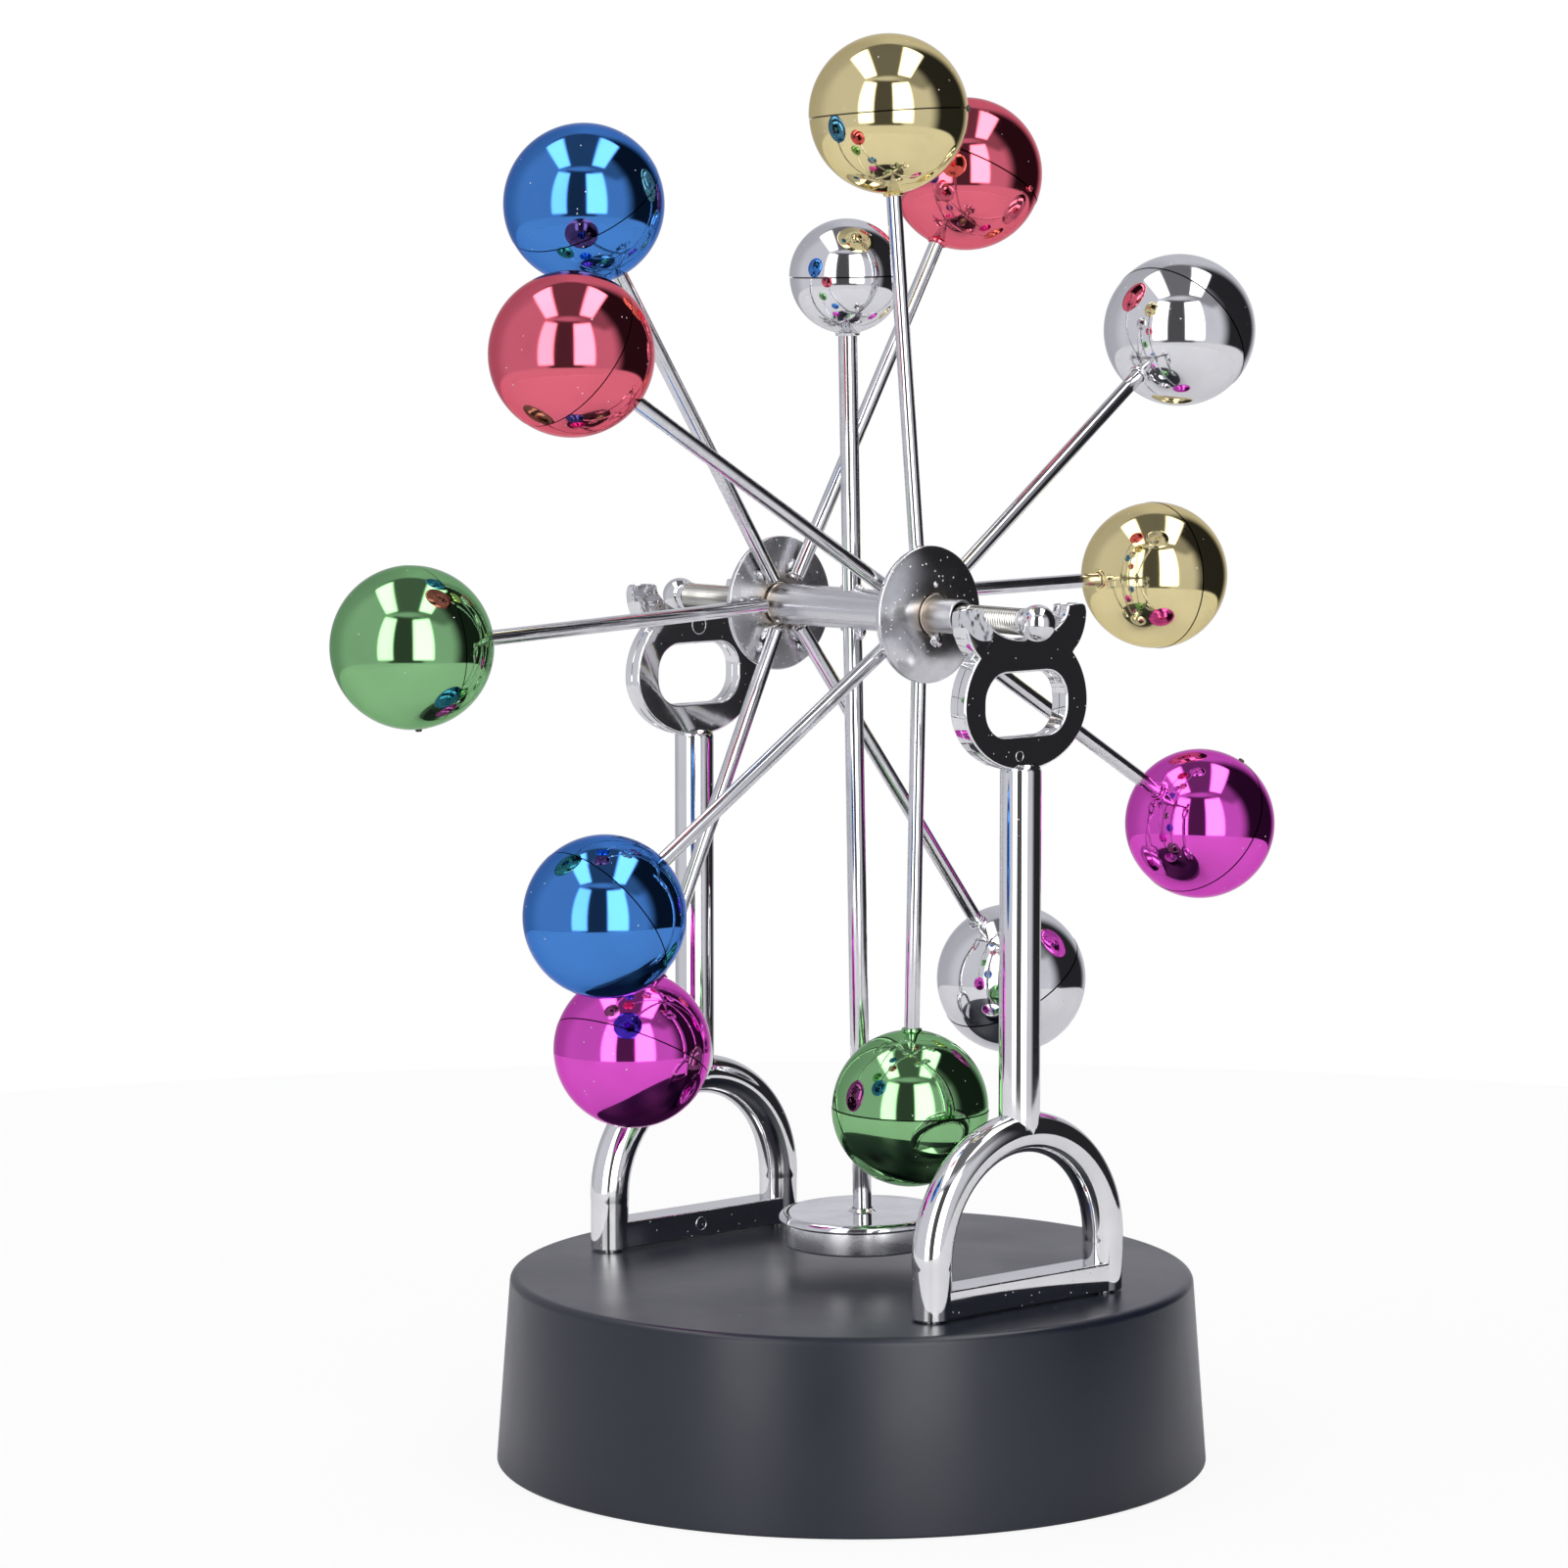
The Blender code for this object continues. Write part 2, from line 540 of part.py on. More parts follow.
def build_cover(surfaces):
    """Bottom cover with a battery bay moulded into it."""
    top = COVER_Z + COVER_THICKNESS
    rim = BASE_FOOT_RADIUS - BASE_WALL - COVER_MARGIN
    disc = cylinder_mesh("bottom_cover", rim, COVER_Z, top, FINE_SEGMENTS)
    cover = add_object("bottom_cover", disc, surfaces["charcoal"])
    half_x = BAY_SIZE[0] / 2.0
    half_y = BAY_SIZE[1] / 2.0
    outer_low = (-half_x - BAY_WALL, -half_y - BAY_WALL, top - OVERLAP)
    outer_high = (half_x + BAY_WALL, half_y + BAY_WALL, BAY_ROOF_Z + BAY_WALL)
    combine(cover, box_mesh("bay", outer_low, outer_high), "UNION")
    inner_low = (-half_x, -half_y, COVER_Z - TOOL_MARGIN)
    inner_high = (half_x, half_y, BAY_ROOF_Z)
    combine(cover, box_mesh("room", inner_low, inner_high), "DIFFERENCE")
    for place in screw_places():
        bore = cylinder_mesh("bore", SCREW_RADIUS + GAP, COVER_Z - TOOL_MARGIN, top + TOOL_MARGIN)
        combine(cover, bore, "DIFFERENCE", place)
        sink = cylinder_mesh(
            "sink", SCREW_HEAD_RADIUS + GAP, COVER_Z - TOOL_MARGIN, COVER_Z + SCREW_HEAD_THICKNESS
        )
        combine(cover, sink, "DIFFERENCE", place)

    head_low = COVER_Z - GAP
    head_high = head_low + SCREW_HEAD_THICKNESS
    for number, place in enumerate(screw_places(), start=1):
        profile = (
            (0.0, head_low),
            (SCREW_HEAD_RADIUS, head_low),
            (SCREW_HEAD_RADIUS, head_high),
            (SCREW_RADIUS, head_high),
            (SCREW_RADIUS, head_low + SCREW_LENGTH),
            (0.0, head_low + SCREW_LENGTH),
        )
        screw = lathe("cover_screw", profile, ROD_SEGMENTS)
        add_object(f"cover_screw_{number}", screw, surfaces["steel"], place)

    for number, angle in enumerate(FOOT_PAD_ANGLES, start=1):
        turn = Matrix.Rotation(math.radians(angle), 4, "Z")
        place = turn @ Matrix.Translation((FOOT_PAD_REACH, 0.0, 0.0))
        pad = cylinder_mesh("foot_pad", FOOT_PAD_RADIUS, 0.0, FOOT_PAD_THICKNESS, WHEEL_SEGMENTS)
        add_object(f"foot_pad_{number}", pad, surfaces["rubber"], place)


def build_door(surfaces):
    """Battery door, hinged along its +Y edge under the cover's face."""
    half_x = BAY_SIZE[0] / 2.0 - DOOR_MARGIN
    half_y = BAY_SIZE[1] / 2.0 - DOOR_MARGIN
    hinge = bpy.data.objects.new("door_hinge", None)
    bpy.context.collection.objects.link(hinge)
    hinge.location = (0.0, half_y - HINGE_RADIUS, COVER_Z + HINGE_RADIUS)
    bpy.context.view_layer.update()
    low = (-half_x, -half_y - hinge.location.y, -HINGE_RADIUS)
    high = (half_x, 0.0, DOOR_THICKNESS - HINGE_RADIUS)
    door = add_object(
        "battery_door", box_mesh("battery_door", low, high), surfaces["charcoal"], None, hinge
    )
    bpy.context.view_layer.update()
    lie = Matrix.Rotation(math.radians(90.0), 4, "Y")
    half_barrel = half_x - HINGE_MARGIN
    barrel = cylinder_mesh("barrel", HINGE_RADIUS - HINGE_RELIEF, -half_barrel, half_barrel)
    combine(door, barrel, "UNION", lie)


def build_cells(surfaces):
    """Four cells, turned alternately, with the contacts that join them."""
    end = CELL_LENGTH / 2.0
    first = -1.5 * CELL_PITCH
    for number in range(4):
        facing = -90.0 if number % 2 else 90.0
        body_end = end - CELL_BUTTON_HEIGHT
        profile = (
            (0.0, -end),
            (CELL_RADIUS, -end),
            (CELL_RADIUS, body_end),
            (CELL_BUTTON_RADIUS, body_end),
            (CELL_BUTTON_RADIUS, end),
            (0.0, end),
        )
        cell = lathe("battery", profile, WHEEL_SEGMENTS)
        place = Matrix.Translation((first + number * CELL_PITCH, 0.0, CELL_AXIS_Z))
        turn = Matrix.Rotation(math.radians(facing), 4, "X")
        add_object(f"battery_{number + 1}", cell, surfaces["cell"], place @ turn)

    wall = BAY_SIZE[1] / 2.0 - GAP
    inner = wall - CONTACT_THICKNESS
    half = CONTACT_WIDTH / 2.0
    joined = half + CELL_PITCH / 2.0
    spans = (
        ("contact_start", 1.0, first, half),
        ("contact_bridge_1", -1.0, first + 0.5 * CELL_PITCH, joined),
        ("contact_bridge_2", 1.0, 0.0, joined),
        ("contact_bridge_3", -1.0, -first - 0.5 * CELL_PITCH, joined),
        ("contact_end", 1.0, -first, half),
    )
    low_z = CELL_AXIS_Z - CONTACT_HEIGHT / 2.0
    for name, side, middle, half_width in spans:
        ends = sorted((side * inner, side * wall))
        low = (middle - half_width, ends[0], low_z)
        high = (middle + half_width, ends[1], low_z + CONTACT_HEIGHT)
        add_object(name, box_mesh(name, low, high), surfaces["steel"])


def build_drive(surfaces):
    """Coil on its bobbin under the base's roof, with its small circuit."""
    top = BOBBIN_Z + BOBBIN_HEIGHT
    profile = (
        (BOBBIN_BORE, BOBBIN_Z),
        (BOBBIN_RADIUS, BOBBIN_Z),
        (BOBBIN_RADIUS, BOBBIN_Z + FLANGE),
        (BOBBIN_CORE, BOBBIN_Z + FLANGE),
        (BOBBIN_CORE, top - FLANGE),
        (BOBBIN_RADIUS, top - FLANGE),
        (BOBBIN_RADIUS, top),
        (BOBBIN_BORE, top),
    )
    bobbin = lathe("coil_bobbin", profile, BOBBIN_SEGMENTS, ring=True)
    add_object("coil_bobbin", bobbin, surfaces["bobbin"])
    winding = ring_mesh(
        "coil_winding",
        BOBBIN_CORE + GAP,
        WINDING_RADIUS,
        BOBBIN_Z + FLANGE + GAP,
        top - FLANGE - GAP,
        BOBBIN_SEGMENTS,
    )
    add_object("coil_winding", winding, surfaces["copper"])

    half_x, half_y, thickness = BOARD_SIZE[0] / 2.0, BOARD_SIZE[1] / 2.0, BOARD_SIZE[2]
    low = (BOARD_X - half_x, -half_y, BOBBIN_Z)
    high = (BOARD_X + half_x, half_y, BOBBIN_Z + thickness)
    add_object("circuit_board", box_mesh("circuit_board", low, high), surfaces["board"])
    seat = high[2] + GAP
    size = TRANSISTOR_SIZE
    chip_low = (BOARD_X - size[0] / 2.0, -size[1] / 2.0, seat)
    chip_high = (BOARD_X + size[0] / 2.0, size[1] / 2.0, seat + size[2])
    add_object("transistor", box_mesh("transistor", chip_low, chip_high), surfaces["rubber"])


def main():
    clear_scene()
    surfaces = make_materials()
    rotor = bpy.data.objects.new("rotor_axis", None)
    bpy.context.collection.objects.link(rotor)
    rotor.location = (0.0, 0.0, AXLE_Z)
    bpy.context.view_layer.update()
    build_axle(surfaces, rotor)
    build_wheel("front", 1.0, FRONT_BALLS, surfaces, rotor)
    build_wheel("rear", -1.0, REAR_BALLS, surfaces, rotor)
    build_pendulum(surfaces, rotor)
    build_stands(surfaces)
    build_shell(surfaces)
    build_cover(surfaces)
    build_door(surfaces)
    build_cells(surfaces)
    build_drive(surfaces)


main()
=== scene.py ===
"""Looks of the magnetic desk sculpture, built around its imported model.

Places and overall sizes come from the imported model's own pieces, and the rounded edges,
seams, threads, welds and finishes are added here. Shapes are in millimetres, and extra()
turns them into the scene's metres.
"""

import json
from math import acos, cos, degrees, exp, hypot, pi, radians, sin, tan, tau

import bmesh
import bpy
import numpy as np
from mathutils import Matrix, Vector, noise


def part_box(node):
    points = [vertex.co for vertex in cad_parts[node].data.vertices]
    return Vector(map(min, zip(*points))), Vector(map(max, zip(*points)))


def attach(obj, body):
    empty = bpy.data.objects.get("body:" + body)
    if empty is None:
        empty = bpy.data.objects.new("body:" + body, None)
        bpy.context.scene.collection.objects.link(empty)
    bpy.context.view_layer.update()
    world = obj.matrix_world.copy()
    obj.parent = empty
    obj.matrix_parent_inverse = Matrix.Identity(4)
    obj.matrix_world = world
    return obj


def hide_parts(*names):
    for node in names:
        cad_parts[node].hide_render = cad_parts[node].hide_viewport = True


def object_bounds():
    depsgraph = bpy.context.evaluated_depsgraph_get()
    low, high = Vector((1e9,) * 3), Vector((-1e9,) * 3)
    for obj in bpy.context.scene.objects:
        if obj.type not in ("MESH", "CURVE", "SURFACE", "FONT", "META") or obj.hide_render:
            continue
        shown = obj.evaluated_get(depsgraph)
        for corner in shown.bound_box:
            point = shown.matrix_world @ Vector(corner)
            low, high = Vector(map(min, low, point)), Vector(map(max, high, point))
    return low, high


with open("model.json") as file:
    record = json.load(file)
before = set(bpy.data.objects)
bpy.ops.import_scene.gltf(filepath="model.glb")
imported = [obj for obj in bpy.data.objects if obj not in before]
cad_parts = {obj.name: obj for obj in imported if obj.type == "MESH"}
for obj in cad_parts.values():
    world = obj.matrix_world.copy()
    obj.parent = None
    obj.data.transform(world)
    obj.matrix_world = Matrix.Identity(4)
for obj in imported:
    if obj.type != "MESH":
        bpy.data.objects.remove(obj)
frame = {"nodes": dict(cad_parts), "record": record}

MM = 0.001
SCALE = Matrix.Scale(MM, 4)
CAD_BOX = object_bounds()
NODES = frame["nodes"]
SLOT_OF = {part["node"]: part["material_slot"] for part in frame["record"]["subparts"]}
BODY_OF = {
    node: body
    for body, members in frame["record"]["behaviour"]["bodies"].items()
    for node in members
}

# Camera, at the photograph's viewing angle.
VIEW_AZIMUTH = radians(48.57)
VIEW_ELEVATION = radians(5.89)
VIEW_DISTANCE = 831.9 * MM
VIEW_TARGET_RIGHT = -10.45 * MM
VIEW_TARGET_HEIGHT = 105.1 * MM
VIEW_LENS = 124.36
VIEW_SENSOR = 36
TOWARDS = Vector((sin(VIEW_AZIMUTH), -cos(VIEW_AZIMUTH), 0))
RIGHT = Vector((cos(VIEW_AZIMUTH), sin(VIEW_AZIMUTH), 0))
UP = Vector((0, 0, 1))

ALONG_X = Vector((1, 0, 0))
WHEELS = (("front", 1), ("rear", -1))
IDENTITY = Matrix.Identity(4)
LIE = Matrix.Rotation(radians(90), 4, "Y")  # Z comes to lie along X
LOCAL = "local"
SHARP_ANGLE = radians(32)
ROUND_SEGMENTS = 96
TUBE_SEGMENTS = 72
ON_AXIS = 1e-4


# Mesh tools


def at(x, y, z):
    return Matrix.Translation((x, y, z))


def smooth_mesh(shape, sharp=True):
    """Smooth-shaded mesh of a bmesh, which is freed."""
    mesh = bpy.data.meshes.new("shape")
    shape.to_mesh(mesh)
    shape.free()
    mesh.shade_smooth()
    if sharp:
        mesh.set_sharp_from_angle(angle=SHARP_ANGLE)
    return mesh


def loft(rings, loop=False):
    """Skin rings of points; a ring of one point is a pole, open ends are capped."""
    shape = bmesh.new()
    rings = [[shape.verts.new(point) for point in ring] for ring in rings]
    pairs = list(zip(rings, rings[1:]))
    if loop:
        pairs.append((rings[-1], rings[0]))
    for first, second in pairs:
        count = max(len(first), len(second))
        for here in range(count):
            after = (here + 1) % count
            corners = ((first, here), (first, after), (second, after), (second, here))
            face = [ring[index % len(ring)] for ring, index in corners]
            shape.faces.new(list(dict.fromkeys(face)))
    if not loop:
        for ring in (rings[0], rings[-1]):
            if len(ring) > 1:
                shape.faces.new(ring)
    bmesh.ops.recalc_face_normals(shape, faces=shape.faces)
    return smooth_mesh(shape)


def circle(radius, height, segments=ROUND_SEGMENTS):
    """Ring of points about Z, or the one point on the axis."""
    if radius < ON_AXIS:
        return [Vector((0, 0, height))]
    return [
        Vector((radius * cos(angle), radius * sin(angle), height))
        for angle in (tau * index / segments for index in range(segments))
    ]


def rounded(corners, steps=5):
    """Profile through corners (a, b), with an arc at each (a, b, rounding)."""
    points = []
    for index, (a, b, *rounding) in enumerate(corners):
        if not rounding:
            points.append((a, b))
            continue
        corner = Vector((a, b))
        before = (Vector(corners[index - 1][:2]) - corner).normalized()
        after = (Vector(corners[index + 1][:2]) - corner).normalized()
        half = before.angle(after) / 2
        touch = rounding[0] / tan(half)
        centre = corner + (before + after).normalized() * (rounding[0] / sin(half))
        first = corner + before * touch - centre
        second = corner + after * touch - centre
        turn = pi - 2 * half
        for step in range(steps + 1):
            share = step / steps
            weight_1 = sin((1 - share) * turn) / sin(turn)
            weight_2 = sin(share * turn) / sin(turn)
            points.append(tuple(centre + first * weight_1 + second * weight_2))
    return points


def revolve(profile, segments=ROUND_SEGMENTS, ring=False, steps=5):
    """Turn a profile of (radius, height) or (radius, height, rounding) about Z."""
    return loft([circle(r, z, segments) for r, z in rounded(profile, steps)], ring)


def arc(centre, radii, start, end, steps):
    """Points along an ellipse from one angle to another, in degrees."""
    angles = [radians(start + (end - start) * step / steps) for step in range(steps + 1)]
    return [
        (centre[0] + radii[0] * cos(angle), centre[1] + radii[1] * sin(angle))
        for angle in angles
    ]


def along(start, end):
    """Matrix at start whose Z points at end."""
    turn = (end - start).to_track_quat("Z", "Y").to_matrix().to_4x4()
    return Matrix.Translation(start) @ turn


def tube(path, section):
    """Sweep a round section along points; section(share, angle) is its radius."""
    rings = []
    side = None
    last = len(path) - 1
    for index, point in enumerate(path):
        ahead = path[min(index + 1, last)]
        behind = path[max(index - 1, 0)]
        forward = (ahead - behind).normalized()
        if side is None:
            side = forward.orthogonal().normalized()
        else:
            side = (side - forward * side.dot(forward)).normalized()
        across = forward.cross(side)
        ring = []
        for step in range(TUBE_SEGMENTS):
            angle = tau * step / TUBE_SEGMENTS
            radius = section(index / last, angle)
            ring.append(point + (side * cos(angle) + across * sin(angle)) * radius)
        rings.append(ring)
    return loft(rings)


def box_mesh(low, high, rounding):
    """Box with rounded edges and corners."""
    low, high = Vector(low), Vector(high)
    shape = bmesh.new()
    bmesh.ops.create_cube(shape, size=1)
    bmesh.ops.scale(shape, vec=high - low, verts=shape.verts)
    bmesh.ops.translate(shape, vec=(high + low) / 2, verts=shape.verts)
    bmesh.ops.bevel(
        shape, geom=shape.edges[:], offset=rounding, segments=3, profile=0.5, affect="EDGES"
    )
    return smooth_mesh(shape)


def joined(parts):
    """One mesh from several (mesh, matrix) parts."""
    shape = bmesh.new()
    for mesh, matrix in parts:
        mesh.transform(matrix)
        shape.from_mesh(mesh)
    return smooth_mesh(shape)


def new_object(name, data):
    made = bpy.data.objects.new(name, data)
    bpy.context.collection.objects.link(made)
    return made


def fused(mesh, tool_mesh, matrix=IDENTITY, operation="UNION"):
    """The solid left after a Boolean of two meshes."""
    body, tool = helpers = [new_object("solid", data) for data in (mesh, tool_mesh)]
    tool.matrix_world = matrix
    step = body.modifiers.new("Boolean", "BOOLEAN")
    step.object = tool
    step.operation = operation
    bpy.context.view_layer.update()
    graph = bpy.context.evaluated_depsgraph_get()
    solid = bpy.data.meshes.new_from_object(body.evaluated_get(graph))
    for helper in helpers:
        bpy.data.objects.remove(helper)
    return solid


def cut(mesh, tool_mesh, matrix=IDENTITY):
    return fused(mesh, tool_mesh, matrix, "DIFFERENCE")


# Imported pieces


def box(node):
    """Lowest and highest corner of a node, in millimetres."""
    return [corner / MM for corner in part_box(node)]


def spine(node):
    """Ends of a long round node's centre line."""
    points = np.array([vertex.co for vertex in NODES[node].data.vertices])
    points = np.unique(np.round(points, 6), axis=0) / MM
    middle = points.mean(axis=0)
    direction = np.linalg.svd(points - middle)[2][0]
    reach = (points - middle) @ direction
    return Vector(middle + direction * reach.min()), Vector(middle + direction * reach.max())


def size_of(node):
    low, high = box(node)
    return high - low


def middle_of(node):
    low, high = box(node)
    return (low + high) / 2


def x_reach(node):
    """How near the object's middle and how far from it a node reaches, lengthwise."""
    return sorted(abs(corner.x) for corner in box(node))


def spokes(wheel):
    """(node, root, tip) of each spoke of a wheel."""
    for node in sorted(name for name in NODES if name.startswith(f"{wheel}_spoke_")):
        yield node, *sorted(spine(node), key=lambda end: hypot(end.y, end.z - AXLE_Z))


def rod_ends():
    """The pendulum rod's foot and top."""
    return sorted(spine("pendulum_rod"), key=lambda end: end.z)


# Material tools


def shader_of(made):
    return made.node_tree.nodes["Principled BSDF"]


def feed(socket, value):
    """Give an input another node's output, a number, a vector or a colour."""
    if isinstance(value, bpy.types.NodeSocket):
        socket.id_data.links.new(value, socket)
    else:
        socket.default_value = (*value, 1) if socket.type == "RGBA" else value


def new_surface(name, **sockets):
    """Principled material with constants on its own sockets."""
    made = bpy.data.materials.new(name)
    made.use_nodes = True
    for socket, value in sockets.items():
        feed(shader_of(made).inputs[socket.replace("_", " ")], value)
    return made


def add(tree, kind, links=None, **settings):
    """Add a shader node; links gives values or other nodes' outputs to its inputs."""
    made = tree.nodes.new(f"ShaderNode{kind}")
    for key, value in settings.items():
        setattr(made, key, value)
    for key, value in (links or {}).items():
        feed(made.inputs[key], value)
    return made


def place_nodes(made, stretch=(1, 1, 1)):
    """Where a point is in its piece's own frame, whose Z is the turning axis."""
    local = add(made.node_tree, "Attribute", attribute_name=LOCAL).outputs["Vector"]
    return add(made.node_tree, "Mapping", {"Vector": local, "Scale": stretch}).outputs["Vector"]


def in_mm(made):
    """X, Y and Z of a point in its piece's own frame, in millimetres."""
    where = place_nodes(made, (1 / MM, 1 / MM, 1 / MM))
    return add(made.node_tree, "SeparateXYZ", {"Vector": where}).outputs


def object_nodes(made):
    """Where a point is on the whole object, so that like pieces differ."""
    return add(made.node_tree, "TexCoord").outputs["Object"]


def grain(where, scale, detail=3, roughness=0.5):
    """Noise value between 0 and 1."""
    links = {"Vector": where, "Scale": scale, "Detail": detail, "Roughness": roughness}
    return add(where.id_data, "TexNoise", links).outputs["Fac"]


def span(value, low, high, to_low=0, to_high=1):
    """Map a value smoothly from one range to another, held at the ends."""
    links = {
        "Value": value, "From Min": low, "From Max": high, "To Min": to_low, "To Max": to_high
    }
    return add(value.id_data, "MapRange", links, interpolation_type="SMOOTHSTEP").outputs[0]


def maths(operation, first, second=0):
    return add(first.id_data, "Math", {0: first, 1: second}, operation=operation).outputs[0]


def times(first, second):
    return maths("MULTIPLY", first, second)


def plus(first, second):
    return maths("ADD", first, second)


def mixed(share, first, second):
    """Mix two colours by a share."""
    made = add(share.id_data, "Mix", data_type="RGBA")
    sockets = {socket.identifier: socket for socket in (*made.inputs, *made.outputs)}
    feed(sockets["Factor_Float"], share)
    feed(sockets["A_Color"], first)
    feed(sockets["B_Color"], second)
    return sockets["Result_Color"]


def shaded(colour, share):
    return [share * channel for channel in colour]


def specks(where, scale, size, chance):
    """1 on scattered specks: cells whose random value is under chance."""
    cells = add(where.id_data, "TexVoronoi", {"Vector": where, "Scale": scale}).outputs
    split = add(where.id_data, "SeparateColor", {"Color": cells["Color"]}).outputs
    near = maths("LESS_THAN", cells["Distance"], size)
    return times(near, maths("LESS_THAN", split["Red"], chance))


def dress(made, colour, roughness, bumps, metallic=None):
    """Drive a material; bumps are (value, depth in millimetres, strength)."""
    inputs = shader_of(made).inputs
    feed(inputs["Base Color"], colour)
    feed(inputs["Roughness"], roughness)
    if metallic:
        feed(inputs["Metallic"], metallic)
    normal = None
    for value, depth, strength in bumps:
        links = {"Height": value, "Distance": depth * MM, "Strength": strength}
        if normal:
            links["Normal"] = normal
        normal = add(made.node_tree, "Bump", links).outputs["Normal"]
    feed(inputs["Normal"], normal)
    return made


# Materials


def mirror_plastic(name, colour, wave_depth=0.03, paints_seam_shade=True):
    """Vacuum-metallised plastic: a slightly wavy mirror with a little dust, and on balls painted
    shade along the seam groove.
    """
    edge = [0.25 + 0.7 * channel for channel in colour]
    made = new_surface(name, Specular_Tint=edge, Coat_Weight=0.35, Coat_Roughness=0.04)
    where = object_nodes(made)
    waves = grain(where, 75, 1)
    peel = grain(where, 700, 2)
    dust = specks(where, 1300, 0.14, 0.05)
    patches = grain(where, 160, 4)
    shade = mixed(span(patches, 0.35, 0.75), colour, shaded(colour, 0.93))
    shade = mixed(dust, shade, (0.75, 0.75, 0.78))
    if paints_seam_shade:
        # Painted shade: a thin band round the seam groove between the two halves, darkened nearly
        # to black.
        groove = span(maths("ABSOLUTE", in_mm(made)["Z"]), 0.09, 0.13, 1, 0)
        shade = mixed(groove, shade, shaded(colour, 0.06))
    roughness = maths("MAXIMUM", span(patches, 0.3, 0.8, 0.04, 0.085), times(dust, 0.6))
    bumps = ((waves, wave_depth, 0.5), (peel, 0.002, 0.35), (dust, 0.02, 0.6))
    return dress(made, shade, roughness, bumps, span(dust, 0, 1, 1, 0.2))


def drawn_steel(name):
    """Nickel plated wire: fine lengthwise lines on a bright, slightly worn skin."""
    made = new_surface(name, Metallic=1)
    lines = grain(place_nodes(made, (1, 1, 0.02)), 2600, 3)
    where = object_nodes(made)
    wear = grain(where, 300, 5)
    pits = specks(where, 900, 0.14, 0.04)
    bright = mixed(span(wear, 0.4, 0.75), (0.72, 0.72, 0.74), (0.62, 0.62, 0.64))
    shade = mixed(pits, bright, (0.3, 0.29, 0.28))
    bumps = ((lines, 0.003, 0.25), (wear, 0.003, 0.2))
    return dress(made, shade, span(wear, 0.35, 0.75, 0.08, 0.17), bumps)


def hub_metal(name, tint_share, dull_share, pitting, low, high, stretch=(1, 1, 1)):
    """Satin nickel with specks; tint_share and dull_share say where it is browned or dull."""
    made = new_surface(name, Metallic=1)
    where = place_nodes(made, stretch)
    cloud = grain(where, 260, 6, 0.6)
    fine = grain(where, 2400, 3)
    pits = specks(where, 1300, 0.19, pitting)
    shade = mixed(span(cloud, 0.35, 0.7), (0.66, 0.66, 0.68), (0.58, 0.58, 0.6))
    shade = mixed(tint_share(made), shade, (0.58, 0.5, 0.41))
    shade = mixed(pits, shade, (0.85, 0.85, 0.85))
    roughness = plus(span(cloud, 0.3, 0.75, low, high), times(dull_share(made), 0.11))
    bumps = ((cloud, 0.004, 0.3), (fine, 0.003, 0.5), (pits, 0.02, 0.4))
    return dress(made, shade, roughness, bumps, span(pits, 0, 1, 1, 0.15))


def ragged(made, away, raggedness, near, far, strength):
    """Heat tint that fades from near to far with an uneven edge."""
    uneven = times(grain(place_nodes(made), 200), raggedness)
    return span(plus(away, uneven), near, far, strength, 0)


def disc_tint(made):
    """Heat tint in a ring round the disc's bore."""
    squares = [times(in_mm(made)[axis], in_mm(made)[axis]) for axis in "XY"]
    return ragged(made, maths("SQRT", plus(*squares)), 2, 3.6, 7.4, 0.7)


def disc_back(made):
    """1 on a disc's inner face, which isn't polished."""
    return span(in_mm(made)["Z"], 16.65, 16.95, 1, 0)


def tube_tint(made):
    """Heat tint on the tube beside the discs."""
    from_disc = maths("SUBTRACT", maths("ABSOLUTE", in_mm(made)["Z"]), 17.6)
    return ragged(made, maths("ABSOLUTE", from_disc), 1.6, 1.2, 5.2, 0.75)


def tube_ends(made):
    """Duller beyond the discs, where the tube is turned down."""
    return span(maths("ABSOLUTE", in_mm(made)["Z"]), 18, 19, 0, 0.6)


def polished(name, colour, low, high):
    """Polished or plated metal with faint turning rings."""
    made = new_surface(name, Metallic=1)
    where = place_nodes(made)
    links = {"Vector": where, "Scale": 900, "Distortion": 1.5, "Detail": 2}
    rings = add(made.node_tree, "TexWave", links, wave_type="RINGS", rings_direction="Z")
    cloud = grain(where, 240, 5)
    pits = specks(where, 700, 0.15, 0.05)
    shade = mixed(span(cloud, 0.35, 0.7), colour, shaded(colour, 0.85))
    bumps = ((rings.outputs["Fac"], 0.002, 0.25), (cloud, 0.01, 0.25), (pits, 0.02, 0.4))
    return dress(made, shade, span(cloud, 0.3, 0.75, low, high), bumps)


def moulded(name, colour, low, high, spark=0.012, specular=0.5):
    """Matte moulded plastic with a spark-eroded grain."""
    made = new_surface(name, Specular_IOR_Level=specular)
    where = object_nodes(made)
    fine = grain(where, 3200, 3)
    cloud = grain(where, 45, 5, 0.6)
    lint = specks(where, 260, 0.05, 0.05)
    shade = mixed(span(cloud, 0.35, 0.7), colour, shaded(colour, 1.18))
    shade = mixed(lint, shade, (0.3, 0.3, 0.32))
    return dress(made, shade, span(cloud, 0.3, 0.75, low, high), ((fine, spark, 0.6),))


def wound_copper(name):
    """Enamelled wire: colour bands from turn to turn."""
    made = new_surface(name, Metallic=1, Coat_Weight=0.6, Coat_Roughness=0.1)
    turns = grain(place_nodes(made, (0.02, 0.02, 1)), 3000)
    shade = mixed(turns, (0.72, 0.27, 0.09), (0.42, 0.13, 0.05))
    return dress(made, shade, span(turns, 0.2, 0.8, 0.22, 0.4), ((turns, 0.02, 0.3),))


